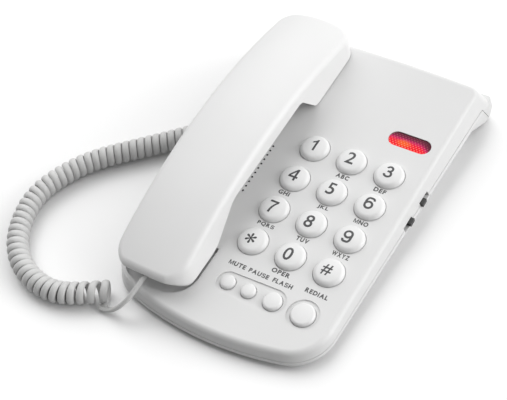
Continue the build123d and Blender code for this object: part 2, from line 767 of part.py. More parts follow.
with BuildPart() as key_mat:
    with BuildSketch(panel.offset(board_top)):
        with Locations((keypad_x, (MAT_REAR + BOARD_FRONT) / 2)):
            RectangleRounded(2 * (KEY_PITCH_X + MAT_MARGIN), MAT_REAR - BOARD_FRONT, BOARD_CORNER)
        with Locations((keypad_x, -KEY_PITCH_Y / 2)):
            with GridLocations(KEY_PITCH_X, 2 * KEY_PITCH_Y, 2, 2):
                Circle(POST_RADIUS + PLUG_FIT, mode=Mode.SUBTRACT)
    extrude(amount=MAT_SHEET)
    dome_places = [(x, y) for name, x, y in key_spots]
    dome_places += [(x, y) for name, x, y, radius in button_spots]
    with BuildSketch(panel.offset(mat_top)):
        with Locations(*dome_places):
            RegularPolygon(MAT_DOME_RADIUS, MAT_DOME_SIDES)
    extrude(amount=MAT_DOME)
key_mat.part.label = "key_mat"
export_step(key_mat.part, "parts/key_mat.step")

with BuildPart() as lamp_lens:
    with BuildSketch(spot(keypad_x + LENS_X, LENS_Y, -LENS_RECESS)):
        SlotOverall(LENS_LENGTH - 2 * LENS_FIT, LENS_WIDTH - 2 * LENS_FIT)
    extrude(amount=LENS_RECESS - PANEL_WALL - LENS_FLANGE)
    with BuildSketch(spot(keypad_x + LENS_X, LENS_Y, -PANEL_WALL)):
        SlotOverall(LENS_LENGTH + 2 * LENS_FLANGE, LENS_WIDTH + 2 * LENS_FLANGE)
    extrude(amount=-LENS_FLANGE)
lamp_lens.part.label = "lamp_lens"
export_step(lamp_lens.part, "parts/lamp_lens.step")

with BuildPart() as lamp_led:
    with BuildSketch(spot(keypad_x + LENS_X, LENS_Y, board_top)):
        Circle(LED_RADIUS)
    extrude(amount=-PANEL_WALL - LENS_FLANGE - MAT_GAP - board_top)
lamp_led.part.label = "lamp_led"
export_step(lamp_led.part, "parts/lamp_led.step")

with BuildPart() as ringer_sounder:
    with BuildSketch(spot(handset_x + RINGER_X, RINGER_Y, -PANEL_WALL)):
        Circle(RINGER_RADIUS)
    extrude(amount=-RINGER_THICK)
ringer_sounder.part.label = "ringer_sounder"
export_step(ringer_sounder.part, "parts/ringer_sounder.step")

# Slide switches: a body on the board and a knob through the side
for name, y, way in SWITCHES:
    middle = y + way * KNOB_TRAVEL / 2
    with BuildPart() as switch_body:
        with BuildSketch(spot(switch_x - SWITCH_WIDTH / 2, middle, board_top)):
            Rectangle(SWITCH_WIDTH, SWITCH_LENGTH)
        extrude(amount=SWITCH_HEIGHT)
    switch_body.part.label = f"{name}_body"
    export_step(switch_body.part, f"parts/{name}_body.step")

    outside = skirt_half(y, SLOT_DEPTH)
    with BuildPart() as switch_knob:
        knob_start = at(switch_x + KNOB_FIT, y, -SLOT_DEPTH)
        knob_plane = Plane(origin=knob_start, x_dir=panel.y_dir, z_dir=panel.x_dir)
        with BuildSketch(knob_plane):
            Rectangle(KNOB_LENGTH, KNOB_HEIGHT)
        extrude(amount=outside + KNOB_PROUD - switch_x - KNOB_FIT)
        with BuildSketch(knob_plane):
            with Locations((0, KNOB_LUG / 2)):
                Rectangle(KNOB_LENGTH, KNOB_HEIGHT + KNOB_LUG)
        extrude(amount=KNOB_PLATE)
    switch_knob.part.label = f"{name}_knob"
    export_step(switch_knob.part, f"parts/{name}_knob.step")

# Digit keys and function buttons
for name, x, y in key_spots:
    dial_key = push_button(spot(x, y), KEY_RADIUS, KEY_PROUD, KEY_CROWN, KEY_ROUND)
    dial_key.label = name
    export_step(dial_key, f"parts/{name}.step")

for name, x, y, radius in button_spots:
    round_button = push_button(spot(x, y), radius, BUTTON_PROUD, BUTTON_CROWN, BUTTON_ROUND)
    round_button.label = name
    export_step(round_button, f"parts/{name}.step")

# Hook: a plunger in the ear well, held down by the handset, over its switch
hook_top = -EAR_CUP_DROP - HOOK_GAP
hook_flange_top = -ear_floor - HOOK_RISE - HOOK_GAP
hook_end = hook_flange_top - HOOK_FLANGE_THICK
with BuildPart() as hook_plunger:
    with BuildSketch(spot(handset_x, hook_y, hook_top)):
        Rectangle(HOOK_WIDTH, HOOK_LENGTH)
    extrude(amount=hook_end - hook_top)
    with BuildSketch(spot(handset_x, hook_y, hook_flange_top)):
        Rectangle(HOOK_WIDTH + 2 * HOOK_FLANGE, HOOK_LENGTH + 2 * HOOK_FLANGE)
    extrude(amount=-HOOK_FLANGE_THICK)
    fillet(hook_plunger.faces().sort_by(up)[-1].edges(), HOOK_ROUND)
hook_plunger.part.label = "hook_plunger"
export_step(hook_plunger.part, "parts/hook_plunger.step")

hook_switch_top = hook_end - HOOK_GAP
hook_switch_foot = table_depth(hook_y - HOOK_SWITCH_LENGTH / 2, FOOT_HEIGHT + FLOOR_WALL) + HOOK_GAP
with BuildPart() as hook_switch:
    with BuildSketch(spot(handset_x, hook_y, hook_switch_top)):
        Rectangle(HOOK_SWITCH_WIDTH, HOOK_SWITCH_LENGTH)
    extrude(amount=hook_switch_foot - hook_switch_top)
hook_switch.part.label = "hook_switch"
export_step(hook_switch.part, "parts/hook_switch.step")

# Jacks of the base
with BuildPart() as line_jack:
    add(jack_body(line_mouth.offset(-WALL), LINE_WIDTH, LINE_HEIGHT, LINE_DEEP))
    lean = math.degrees(math.atan(FLARE_TAIL / SKIRT_DEPTH))
    wall_face = line_mouth.offset(-WALL - PART_GAP).rotated((lean, 0, 0))
    split(bisect_by=wall_face, keep=Keep.BOTTOM)
line_jack.part.label = "line_jack"
export_step(line_jack.part, "parts/line_jack.step")

base_jack = jack_body(base_jack_mouth, hole_width, hole_height, JACK_DEEP)
base_jack.label = "base_handset_jack"
export_step(base_jack, "parts/base_handset_jack.step")

# Handset shells: an arched back with a face plate let in from below
with BuildPart() as handset_form:
    extrude(handset_outline(0.0, EAR_CLEAR), amount=BACK_DEPTH)
    add(handset_arch(0.0), mode=Mode.INTERSECT)
    fillet(handset_form.faces().sort_by(up)[-1].edges(), BACK_ROUND)
    with BuildSketch(side_plane(handset_x)):
        with BuildLine():
            lower = FilletPolyline(*underside(0.0), radius=GRIP_ROUND)
            Polyline(lower @ 1, (THROUGH, -THROUGH), (-THROUGH, -THROUGH), lower @ 0)
        make_face()
    extrude(amount=BACK_REACH, both=True, mode=Mode.SUBTRACT)
    split(bisect_by=chin_plane(0.0), keep=Keep.BOTTOM)
    chin = handset_form.faces().sort_by(Axis(at(0, 0), chin_plane(0.0).z_dir))[-1]
    nose_edges = chin.edges().sort_by(up)[1:]
    fillet(nose_edges, CHIN_ROUND)

with BuildPart() as handset_hollow:
    extrude(handset_outline(SHELL, -BACK_DEPTH), amount=3 * BACK_DEPTH)
    add(handset_arch(SHELL), mode=Mode.INTERSECT)
    split(bisect_by=chin_plane(SHELL), keep=Keep.BOTTOM)

plate_top = GRIP_CLEAR + FACE_PLATE
handset_jack_mouth = Plane(
    origin=at(handset_x, jack_y, jack_rise), x_dir=panel.x_dir, z_dir=-panel.y_dir
)
handset_tail = handset_jack_mouth.offset(TAIL_BACK)
with BuildPart() as handset_back_shell:
    add(handset_form.part)
    add(handset_hollow.part, mode=Mode.SUBTRACT)
    for y in (-GRIP_SCREW_Y, GRIP_SCREW_Y):
        with BuildSketch(spot(handset_x, y, plate_top + SHELL_FIT)):
            Circle(GRIP_BOSS_RADIUS)
        extrude(amount=BACK_TOP - SHELL / 2 - (y - BACK_Y) ** 2 / (2 * BACK_RADIUS) - plate_top - SHELL_FIT)
        with BuildSketch(spot(handset_x, y, plate_top + SHELL_FIT)):
            Circle(GRIP_SCREW_RADIUS + SCREW_FIT)
        extrude(amount=GRIP_SCREW_LENGTH - FACE_PLATE, mode=Mode.SUBTRACT)
    with BuildSketch(handset_jack_mouth):
        Rectangle(hole_width, hole_height)
    extrude(amount=jack_y - mouth_end, mode=Mode.SUBTRACT)
handset_back_shell.part.label = "handset_back_shell"
export_step(handset_back_shell.part, "parts/handset_back_shell.step")

with BuildPart() as handset_front_shell:
    with BuildSketch(side_plane(handset_x)):
        with BuildLine():
            lower = FilletPolyline(*underside(0.0), radius=GRIP_ROUND)
            upper = FilletPolyline(*underside(FACE_PLATE), radius=GRIP_ROUND)
            Line(lower @ 0, upper @ 0)
            Line(lower @ 1, upper @ 1)
        make_face()
    extrude(amount=BACK_REACH, both=True)
    extrude(handset_outline(SHELL + SHELL_FIT, -BACK_DEPTH), amount=3 * BACK_DEPTH, mode=Mode.INTERSECT)
    split(bisect_by=chin_plane(SHELL + SHELL_FIT), keep=Keep.BOTTOM)
    with BuildSketch(spot(handset_x, ear_y, -EAR_CUP_DROP)):
        Circle(EAR_CUP_RADIUS)
    extrude(amount=EAR_CUP_DROP + EAR_CLEAR + FACE_PLATE)
    with BuildSketch(spot(handset_x, mic_y, -MOUTH_CUP_DROP)):
        RectangleRounded(MOUTH_CUP_WIDTH, MOUTH_CUP_LENGTH, MOUTH_CUP_ROUND)
    extrude(amount=MOUTH_CUP_DROP + MOUTH_CLEAR + FACE_PLATE)
    with BuildSketch(spot(handset_x, ear_y, CUP_WALL - EAR_CUP_DROP)):
        Circle(CAPSULE_RADIUS + PLUG_FIT)
    extrude(amount=BACK_DEPTH, mode=Mode.SUBTRACT)
    with BuildSketch(spot(handset_x, mic_y, CUP_WALL - MOUTH_CUP_DROP)):
        Circle(BOOT_RADIUS + PLUG_FIT)
    extrude(amount=BACK_DEPTH, mode=Mode.SUBTRACT)
    with BuildSketch(spot(handset_x, ear_y)):
        Circle(EAR_HOLE_RADIUS)
        with PolarLocations(EAR_HOLE_RING, EAR_HOLES):
            Circle(EAR_HOLE_RADIUS)
    extrude(amount=-BACK_DEPTH, mode=Mode.SUBTRACT)
    with BuildSketch(spot(handset_x, mic_y)):
        with GridLocations(MIC_RADIUS, MIC_RADIUS, 2, 1):
            Circle(MIC_HOLE_RADIUS)
    extrude(amount=-BACK_DEPTH, mode=Mode.SUBTRACT)
    with BuildSketch(spot(handset_x, 0, GRIP_CLEAR)):
        with Locations((0, -GRIP_SCREW_Y), (0, GRIP_SCREW_Y)):
            Circle(GRIP_SCREW_RADIUS + HEAD_FIT)
    extrude(amount=FACE_PLATE, mode=Mode.SUBTRACT)
    with BuildSketch(spot(handset_x, 0, GRIP_CLEAR)):
        with Locations((0, -GRIP_SCREW_Y), (0, GRIP_SCREW_Y)):
            Circle(GRIP_SCREW_HEAD + HEAD_FIT)
    extrude(amount=FACE_PLATE / 2, mode=Mode.SUBTRACT)
handset_front_shell.part.label = "handset_front_shell"
export_step(handset_front_shell.part, "parts/handset_front_shell.step")

with BuildPart() as handset_screws:
    with BuildSketch(spot(handset_x, 0, GRIP_CLEAR)):
        with Locations((0, -GRIP_SCREW_Y), (0, GRIP_SCREW_Y)):
            Circle(GRIP_SCREW_HEAD)
    extrude(amount=FACE_PLATE / 2)
    with BuildSketch(spot(handset_x, 0, GRIP_CLEAR)):
        with Locations((0, -GRIP_SCREW_Y), (0, GRIP_SCREW_Y)):
            Circle(GRIP_SCREW_RADIUS)
    extrude(amount=GRIP_SCREW_LENGTH)
handset_screws.part.label = "handset_screws"
export_step(handset_screws.part, "parts/handset_screws.step")

# Inside the handset
cup_floor = CUP_WALL - EAR_CUP_DROP
with BuildPart() as receiver_gasket:
    with BuildSketch(spot(handset_x, ear_y, cup_floor)):
        Circle(CAPSULE_RADIUS)
        Circle(CAPSULE_RADIUS - GASKET_WIDTH, mode=Mode.SUBTRACT)
    extrude(amount=GASKET_THICK)
receiver_gasket.part.label = "receiver_gasket"
export_step(receiver_gasket.part, "parts/receiver_gasket.step")

with BuildPart() as receiver_capsule:
    with BuildSketch(spot(handset_x, ear_y, cup_floor + GASKET_THICK)):
        Circle(CAPSULE_RADIUS)
    extrude(amount=CAPSULE_HEIGHT)
receiver_capsule.part.label = "receiver_capsule"
export_step(receiver_capsule.part, "parts/receiver_capsule.step")

with BuildPart() as microphone_boot:
    with BuildSketch(spot(handset_x, mic_y, CUP_WALL - MOUTH_CUP_DROP)):
        Circle(BOOT_RADIUS)
        Circle(MIC_RADIUS + SCREW_FIT, mode=Mode.SUBTRACT)
    extrude(amount=BOOT_HEIGHT)
microphone_boot.part.label = "microphone_boot"
export_step(microphone_boot.part, "parts/microphone_boot.step")

with BuildPart() as microphone:
    with BuildSketch(spot(handset_x, mic_y, CUP_WALL - MOUTH_CUP_DROP)):
        Circle(MIC_RADIUS)
    extrude(amount=MIC_HEIGHT)
microphone.part.label = "microphone"
export_step(microphone.part, "parts/microphone.step")

with BuildPart() as weight_bar:
    with BuildSketch(spot(handset_x, 0, plate_top)):
        Rectangle(WEIGHT_WIDTH, WEIGHT_LENGTH)
    extrude(amount=WEIGHT_HEIGHT)
weight_bar.part.label = "weight_bar"
export_step(weight_bar.part, "parts/weight_bar.step")

handset_jack = jack_body(handset_jack_mouth, hole_width, hole_height, JACK_DEEP)
handset_jack.label = "handset_jack"
export_step(handset_jack, "parts/handset_jack.step")

# Plugs of the curly cord
handset_plug = plug_body(handset_tail)
handset_plug.label = "cord_plug_handset"
export_step(handset_plug, "parts/cord_plug_handset.step")

base_tail = base_jack_mouth.offset(WALL + PART_GAP + PLUG_TAIL)
base_plug = plug_body(base_tail)
base_plug.label = "cord_plug_base"
export_step(base_plug, "parts/cord_plug_base.step")


def bend_radii(points):
    """Radii of the arcs that round the corners of a cord's way."""
    radii = []
    for before, corner, after in zip(points, points[1:], points[2:]):
        arrive = (corner - before).length
        leave = (after - corner).length
        turn = math.radians((corner - before).get_angle(after - corner))
        radii.append(BEND_SHARE * min(arrive, leave) / math.tan(turn / 2))
    return radii


def cord_stretch(points):
    """A straight stretch of cord along straight runs and tangent arcs."""
    radii = bend_radii(points)
    print("bend radii", [round(radius, 1) for radius in radii])
    with BuildPart() as stretch:
        with BuildLine():
            FilletPolyline(*points, radius=radii)
        with BuildSketch(Plane(origin=points[0], z_dir=points[1] - points[0])):
            RegularPolygon(WIRE / 2, WIRE_SIDES)
        sweep(clean=False)
    return stretch.part


# The coil: half turns wound to the left along its way over the table
coil_height = COIL_RADIUS + WIRE / 2 + COIL_LIFT
route_points = [Vector(x, y, coil_height) for x, y in COIL_ROUTE]
with BuildLine():
    way = FilletPolyline(*route_points, radius=bend_radii(route_points))
way_length = way.length
spare = sum(COIL_OPENING * step / COIL_OPEN_TURNS for step in range(COIL_OPEN_TURNS)) / 2
step_length = (way_length - spare) / COIL_HALF_TURNS
gone = 0.0
winding_points = []
for turn in range(COIL_HALF_TURNS + 1):
    opening = max(0, turn - COIL_HALF_TURNS + COIL_OPEN_TURNS) / COIL_OPEN_TURNS
    share = min(gone / way_length, 1.0)
    centre = way.position_at(share)
    along = way.tangent_at(share)
    left = Vector(0, 0, 1).cross(along)
    top = turn % 2 == 0
    rise = (step_length + COIL_OPENING * opening / 2) / math.pi
    heading = (left * (COIL_RADIUS if top else -COIL_RADIUS) + along * rise).normalized()
    place = centre + Vector(0, 0, COIL_RADIUS if top else -COIL_RADIUS)
    winding_points.append((place, heading))
    gone += step_length + COIL_OPENING * opening / 2

coil_start = winding_points[0][0] - winding_points[0][1] * WIRE
coil_end = winding_points[-1][0] + winding_points[-1][1] * WIRE
with BuildPart() as cord_coil:
    with BuildLine() as winding:
        Line(coil_start, winding_points[0][0])
        for (first, first_way), (last, last_way) in zip(winding_points, winding_points[1:]):
            span = last - first
            both = first_way + last_way
            bend = 2 * (1 - first_way.dot(last_way))
            lean = span.dot(both)
            reach = (math.sqrt(lean * lean + bend * span.dot(span)) - lean) / bend
            leave = first + first_way * reach
            arrive = last - last_way * reach
            middle = (leave + arrive) * 0.5
            TangentArc(first, middle, tangent=first_way)
            TangentArc(middle, last, tangent=arrive - leave)
        Line(winding_points[-1][0], coil_end)
    with BuildSketch(Plane(origin=coil_start, z_dir=winding_points[0][1])):
        RegularPolygon(WIRE / 2, WIRE_SIDES)
    sweep(clean=False)
cord_coil.part.label = "cord_coil"
export_step(cord_coil.part, "parts/cord_coil.step")

# Least gap of the coil to itself, between one turn and the next two
steps = range(GAP_STEPS)
samples = [edge.position_at(step / GAP_STEPS) for edge in winding.line.edges() for step in steps]
nearest = min(
    (samples[first] - samples[second]).length
    for first in range(0, len(samples), 2)
    for second in range(first + 2 * GAP_STEPS, min(first + 7 * GAP_STEPS, len(samples)))
)
print("least gap of the coil to itself", round(nearest - WIRE, 2))

lead_points = [coil_end, coil_end + winding_points[-1][1] * LEAD_RUN]
lead_points += [Vector(*point) for point in HANDSET_LEAD]
lead_points += [handset_tail.origin + handset_tail.z_dir * LEAD_RUN, handset_tail.origin]
handset_lead = cord_stretch(lead_points)
handset_lead.label = "cord_lead_handset"
export_step(handset_lead, "parts/cord_lead_handset.step")

lead_points = [base_tail.origin]
lead_points += [Vector(*point) for point in BASE_LEAD]
lead_points += [coil_start - winding_points[0][1] * LEAD_RUN, coil_start]
base_lead = cord_stretch(lead_points)
base_lead.label = "cord_lead_base"
export_step(base_lead, "parts/cord_lead_base.step")
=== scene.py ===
import math

import bmesh
import bpy
import numpy as np
from mathutils import Matrix, Vector
from mathutils.bvhtree import BVHTree


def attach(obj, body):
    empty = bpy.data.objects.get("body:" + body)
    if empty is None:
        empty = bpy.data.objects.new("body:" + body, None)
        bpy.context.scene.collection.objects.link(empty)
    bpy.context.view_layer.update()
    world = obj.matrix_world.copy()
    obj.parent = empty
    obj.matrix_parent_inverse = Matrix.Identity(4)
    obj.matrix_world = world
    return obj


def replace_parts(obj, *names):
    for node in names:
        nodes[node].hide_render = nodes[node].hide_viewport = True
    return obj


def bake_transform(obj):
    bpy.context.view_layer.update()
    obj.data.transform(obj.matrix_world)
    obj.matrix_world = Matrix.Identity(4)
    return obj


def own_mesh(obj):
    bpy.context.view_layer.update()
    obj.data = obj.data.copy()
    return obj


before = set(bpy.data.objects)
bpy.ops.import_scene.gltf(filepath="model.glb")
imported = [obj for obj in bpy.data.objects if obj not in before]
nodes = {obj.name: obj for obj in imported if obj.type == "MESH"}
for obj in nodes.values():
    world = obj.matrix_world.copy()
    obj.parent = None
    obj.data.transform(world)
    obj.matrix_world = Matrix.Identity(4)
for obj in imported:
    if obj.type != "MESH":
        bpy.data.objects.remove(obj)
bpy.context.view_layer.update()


# Base housings: two injection-moulded shells of off-white plastic, screwed together from below, with
# the hook plunger of the same plastic between them. The mould leaves a fine satin grain, and the
# plastic is very slightly uneven in tone.
class Paint:
    """One value inside a material. Sums of values add Math nodes; node() adds any other node."""

    MIX_FACTOR = 0
    MIX_FIRST_COLOUR = 6
    MIX_SECOND_COLOUR = 7
    MIX_COLOUR_OUT = 2
    RAMP_MIDDLE = 0.5

    def __init__(self, tree, socket=None):
        self.tree = tree
        self.socket = socket

    def node(self, kind, settings, inputs, out=0):
        made = self.tree.nodes.new(kind)
        for name, value in settings.items():
            if name == "stops":
                while len(made.color_ramp.elements) < len(value):
                    made.color_ramp.elements.new(self.RAMP_MIDDLE)
                for element, (place, colour) in zip(made.color_ramp.elements, value):
                    element.position = place
                    element.color = colour
            else:
                setattr(made, name, value)
        for key, value in inputs.items():
            if isinstance(value, Paint):
                self.tree.links.new(value.socket, made.inputs[key])
            else:
                made.inputs[key].default_value = value
        return Paint(self.tree, made.outputs[out])

    def sum_of(self, operation, first, second):
        return self.node("ShaderNodeMath", {"operation": operation}, {0: first, 1: second})

    def __add__(self, other):
        return self.sum_of("ADD", self, other)

    def __radd__(self, other):
        return self.sum_of("ADD", other, self)

    def __sub__(self, other):
        return self.sum_of("SUBTRACT", self, other)

    def __rsub__(self, other):
        return self.sum_of("SUBTRACT", other, self)

    def __mul__(self, other):
        return self.sum_of("MULTIPLY", self, other)

    def __rmul__(self, other):
        return self.sum_of("MULTIPLY", other, self)

    def blend(self, first, second):
        """Colour between two colours by this value."""
        colours = {self.MIX_FACTOR: self, self.MIX_FIRST_COLOUR: first, self.MIX_SECOND_COLOUR: second}
        return self.node("ShaderNodeMix", {"data_type": "RGBA"}, colours, self.MIX_COLOUR_OUT)

    def place(self):
        """Where a point of the surface lies in the frame, in metres."""
        return self.node("ShaderNodeTexCoord", {}, {}, "Object")

    def part_of(self, axis):
        """X, Y or Z of a place."""
        return self.node("ShaderNodeSeparateXYZ", {}, {"Vector": self}, axis)

    def noise(self, scale, detail):
        """Cloudy noise over this place, from 0 to 1."""
        return self.node("ShaderNodeTexNoise", {}, {"Vector": self, "Scale": scale, "Detail": detail})

    def into(self, socket):
        self.tree.links.new(self.socket, socket)

    def raise_surface(self, shader, strength, depth):
        """Fine relief of the surface by this value."""
        relief = {"Strength": strength, "Distance": depth, "Height": self}
        self.node("ShaderNodeBump", {}, relief).into(shader.inputs["Normal"])


def new_finish(name):
    """An empty material with its shader, and a Paint to add nodes with."""
    material = bpy.data.materials.new(name)
    material.use_nodes = True
    tree = material.node_tree
    return material, tree.nodes["Principled BSDF"], Paint(tree)


NOISE_MIDDLE = 0.5
TONE_SCALE = 28.0
TONE_DETAIL = 3.0
TONE_ON_GLOSS = 0.1
GRAIN_SCALE = 2200.0
GRAIN_DETAIL = 2.0
GRAIN_ON_GLOSS = 0.08
GRAIN_DEPTH = 0.00008
PLASTIC_IOR = 1.49
# The dark colour painted on the walls of the sound holes, as the shade inside them.
HOLE_PAINTED_SHADE = (0.03, 0.03, 0.03, 1)


def moulded_plastic(name, colour, shade, roughness, grain, hole_shade=None):
    """Moulded plastic with a slow change of tone and a fine grain from the mould, and painted shade, in a
    dark colour, where the given hole mask is 1.
    """
    material, shader, paint = new_finish(name)
    place = paint.place()
    tone = place.noise(TONE_SCALE, TONE_DETAIL)
    fine = place.noise(GRAIN_SCALE, GRAIN_DETAIL)
    tint = tone.blend(colour, shade)
    # Painted shade: the walls of the sound holes are coloured dark.
    if hole_shade:
        tint = hole_shade(place).blend(tint, HOLE_PAINTED_SHADE)
    tint.into(shader.inputs["Base Color"])
    uneven = TONE_ON_GLOSS * (tone - NOISE_MIDDLE)
    grainy = GRAIN_ON_GLOSS * (fine - NOISE_MIDDLE)
    (roughness + uneven + grainy).into(shader.inputs["Roughness"])
    fine.raise_surface(shader, grain, GRAIN_DEPTH)
    shader.inputs["IOR"].default_value = PLASTIC_IOR
    return material


EDGE_ANGLE = math.radians(32)


def dress(material, *names):
    """Gives CAD nodes a finish, with smooth normals except at real edges."""
    for name in names:
        mesh = nodes[name].data
        mesh.materials.clear()
        mesh.materials.append(material)
        mesh.shade_smooth()
        mesh.set_sharp_from_angle(angle=EDGE_ANGLE)


PANEL_LEAN = math.radians(4.3)
panel_origin = Vector((0.0, -0.0010676, 0.0185))
panel_away = Vector((0.0, math.cos(PANEL_LEAN), math.sin(PANEL_LEAN)))
panel_up = Vector((0.0, -math.sin(PANEL_LEAN), math.cos(PANEL_LEAN)))


def from_panel(across, along, above):
    """A step given on the panel, in the frame of the table."""
    return Vector((across, 0, 0)) + panel_away * along + panel_up * above


SOUND_HOLES_X = -0.0288
SOUND_HOLES_Y = -0.0018
SOUND_HOLES_HALF_X = 0.0075
SOUND_HOLES_HALF_Y = 0.0180
HOLE_RIM = 0.0001


def sound_hole_shade(place):
    """1 on the walls of the sound holes in the panel, where their shade is painted on as a dark colour,
    and 0 elsewhere.
    """
    across = place.part_of("X")
    along = place.part_of("Y") - panel_origin.y
    up = place.part_of("Z") - panel_origin.z
    depth = along * math.sin(PANEL_LEAN) - up * math.cos(PANEL_LEAN)
    near_x = {0: across, 1: SOUND_HOLES_X, 2: SOUND_HOLES_HALF_X}
    near_y = {0: along, 1: SOUND_HOLES_Y, 2: SOUND_HOLES_HALF_Y}
    inside = place.sum_of("GREATER_THAN", depth, HOLE_RIM)
    for near in (near_x, near_y):
        inside = inside * place.node("ShaderNodeMath", {"operation": "COMPARE"}, near)
    return inside


base_look = {
    "colour": (0.735, 0.735, 0.735, 1),
    "shade": (0.71, 0.71, 0.707, 1),
    "roughness": 0.42,
    "grain": 0.12,
}
# The panel's plastic has the shade inside its sound holes painted dark on their walls.
dress(moulded_plastic("panel_plastic", **base_look, hole_shade=sound_hole_shade), "base_top_housing")
dress(moulded_plastic("base_plastic", **base_look), "base_bottom_housing", "hook_plunger")


# Rubber feet, and the rubber gasket and boot in the handset: soft black rubber, pressed in place.
# The surface is matt and slightly cloudy from handling.
RUBBER_CLOUDS = 260.0
RUBBER_DETAIL = 5.0
RUBBER_RELIEF = 0.15
RUBBER_DEPTH = 0.0001


def two_tone(shader, pattern, colour, other, roughness, change):
    """Lets one pattern change the colour and the gloss of a surface together."""
    pattern.blend(colour, other).into(shader.inputs["Base Color"])
    (roughness + change * pattern).into(shader.inputs["Roughness"])


def soft_rubber(name, colour, bloom):
    material, shader, paint = new_finish(name)
    cloud = paint.place().noise(RUBBER_CLOUDS, RUBBER_DETAIL)
    two_tone(shader, cloud, colour, bloom, roughness=0.68, change=0.2)
    cloud.raise_surface(shader, RUBBER_RELIEF, RUBBER_DEPTH)
    return material


foot_rubber = soft_rubber("foot_rubber", (0.02, 0.02, 0.02, 1), (0.05, 0.05, 0.05, 1))
dress(foot_rubber, "rubber_feet", "receiver_gasket", "microphone_boot")


# Key mat: one sheet of grey silicone rubber, moulded with a dome under each key and laid on the
# board, square to the panel above it.
KEYPAD_X = 0.0218
KEY_PITCH_X = 0.0225
KEY_PITCH_Y = 0.02178
BUTTON_ROW = -0.070
keypad = (("1", "2", "3"), ("4", "5", "6"), ("7", "8", "9"), ("star", "0", "hash"))
key_places = {
    f"key_{name}": (KEYPAD_X + (column - 1) * KEY_PITCH_X, (1 - row) * KEY_PITCH_Y)
    for row, names in enumerate(keypad)
    for column, name in enumerate(names)
}
button_places = {
    "mute_button": (KEYPAD_X - 0.0217, BUTTON_ROW),
    "pause_button": (KEYPAD_X - 0.0094, BUTTON_ROW),
    "flash_button": (KEYPAD_X + 0.0048, BUTTON_ROW),
    "redial_button": (KEYPAD_X + 0.0224, BUTTON_ROW),
}
mat_rubber = soft_rubber("mat_rubber", (0.42, 0.42, 0.41, 1), (0.52, 0.52, 0.50, 1))


def mat_piece(name, mesh):
    """A piece of the mat, lying on the base."""
    piece = bpy.data.objects.new(name, mesh)
    bpy.context.scene.collection.objects.link(piece)
    mesh.materials.clear()
    mesh.materials.append(mat_rubber)
    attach(piece, "base")
    return piece


def above_panel(vertex):
    """How high a point lies over the panel's face."""
    return (vertex.co - panel_origin).dot(panel_up)


SAME_POINT = 0.000001
DOME_HEIGHT = 0.0016
flat = bmesh.new()
flat.from_mesh(nodes["key_mat"].data)
bmesh.ops.remove_doubles(flat, verts=flat.verts[:], dist=SAME_POINT)
dome_end = max(above_panel(vertex) for vertex in flat.verts)
sheet_top = dome_end - DOME_HEIGHT
dome_ends = [vertex for vertex in flat.verts if above_panel(vertex) > dome_end - DOME_HEIGHT / 2]
bmesh.ops.delete(flat, geom=dome_ends, context="VERTS")
bmesh.ops.holes_fill(flat, edges=[edge for edge in flat.edges if edge.is_boundary], sides=0)
sheet_mesh = bpy.data.meshes.new("mat_sheet")
flat.to_mesh(sheet_mesh)
flat.free()
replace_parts(mat_piece("mat_sheet", sheet_mesh), "key_mat")

DOME_SIDES = 24
DOME_EDGE_ANGLE = math.radians(50)
dome_profile = ((0.00315, 0.0), (0.00302, 0.0006), (0.00275, 0.0012), (0.0023, 0.0015), (0.0018, 0.0016))
for name, (across, along) in {**key_places, **button_places}.items():
    foot = panel_origin + from_panel(across, along, sheet_top)
    points = []
    for radius, height in dome_profile:
        for step in range(DOME_SIDES):
            turn = 2 * math.pi * step / DOME_SIDES
            points.append(foot + from_panel(radius * math.cos(turn), radius * math.sin(turn), height))
    faces = [tuple(reversed(range(DOME_SIDES))), tuple(range(len(points) - DOME_SIDES, len(points)))]
    for here in range(len(points) - DOME_SIDES):
        beside = here + 1 if (here + 1) % DOME_SIDES else here + 1 - DOME_SIDES
        faces.append((here, beside, beside + DOME_SIDES, here + DOME_SIDES))
    dome_mesh = bpy.data.meshes.new("mat_dome_" + name)
    dome_mesh.from_pydata(points, [], faces)
    dome_mesh.shade_smooth()
    dome_mesh.set_sharp_from_angle(angle=DOME_EDGE_ANGLE)
    dome = mat_piece("mat_dome_" + name, dome_mesh)
    name + "_press"
    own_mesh(dome)


# Circuit board: a brown board of pressed paper and phenolic resin under the keys, held by four
# screws. The fibres of its paper show as faint streaks.
FIBRE_SCALE = 180.0
FIBRE_WAVER = 6.0
FIBRE_DETAIL = 2.0


def phenolic_board(name, colour, streak):
    material, shader, paint = new_finish(name)
    streaks = {"Scale": FIBRE_SCALE, "Distortion": FIBRE_WAVER, "Detail": FIBRE_DETAIL}
    fibre = paint.node("ShaderNodeTexWave", {}, {"Vector": paint.place(), **streaks})
    two_tone(shader, fibre, colour, streak, roughness=0.42, change=0.15)
    return material


dress(phenolic_board("board", (0.30, 0.19, 0.07, 1), (0.38, 0.26, 0.11, 1)), "main_board")


# Small black parts: the two slide switch knobs that stick out of the side, and the sounder,
# switches, receiver and microphone inside. All are moulded from black plastic.
black_plastic = moulded_plastic(
    "black_plastic", (0.012, 0.012, 0.012, 1), (0.02, 0.02, 0.02, 1), roughness=0.45, grain=0.25
)
dress(
    black_plastic,
    "ringer_switch_knob",
    "dial_mode_switch_knob",
    "ringer_sounder",
    "ringer_switch_body",
    "dial_mode_switch_body",
    "hook_switch",
    "receiver_capsule",
    "microphone",
)


# Screws, and the weight bar in the handset: zinc-plated steel with fine scratches along its length.
# The screws hold the housings, the board and the handset's shells, and the bar makes the handset
# heavy enough to press the hook down.
SCRATCH_SCALE = (900.0, 60.0, 900.0)
SCRATCH_DETAIL = 4.0


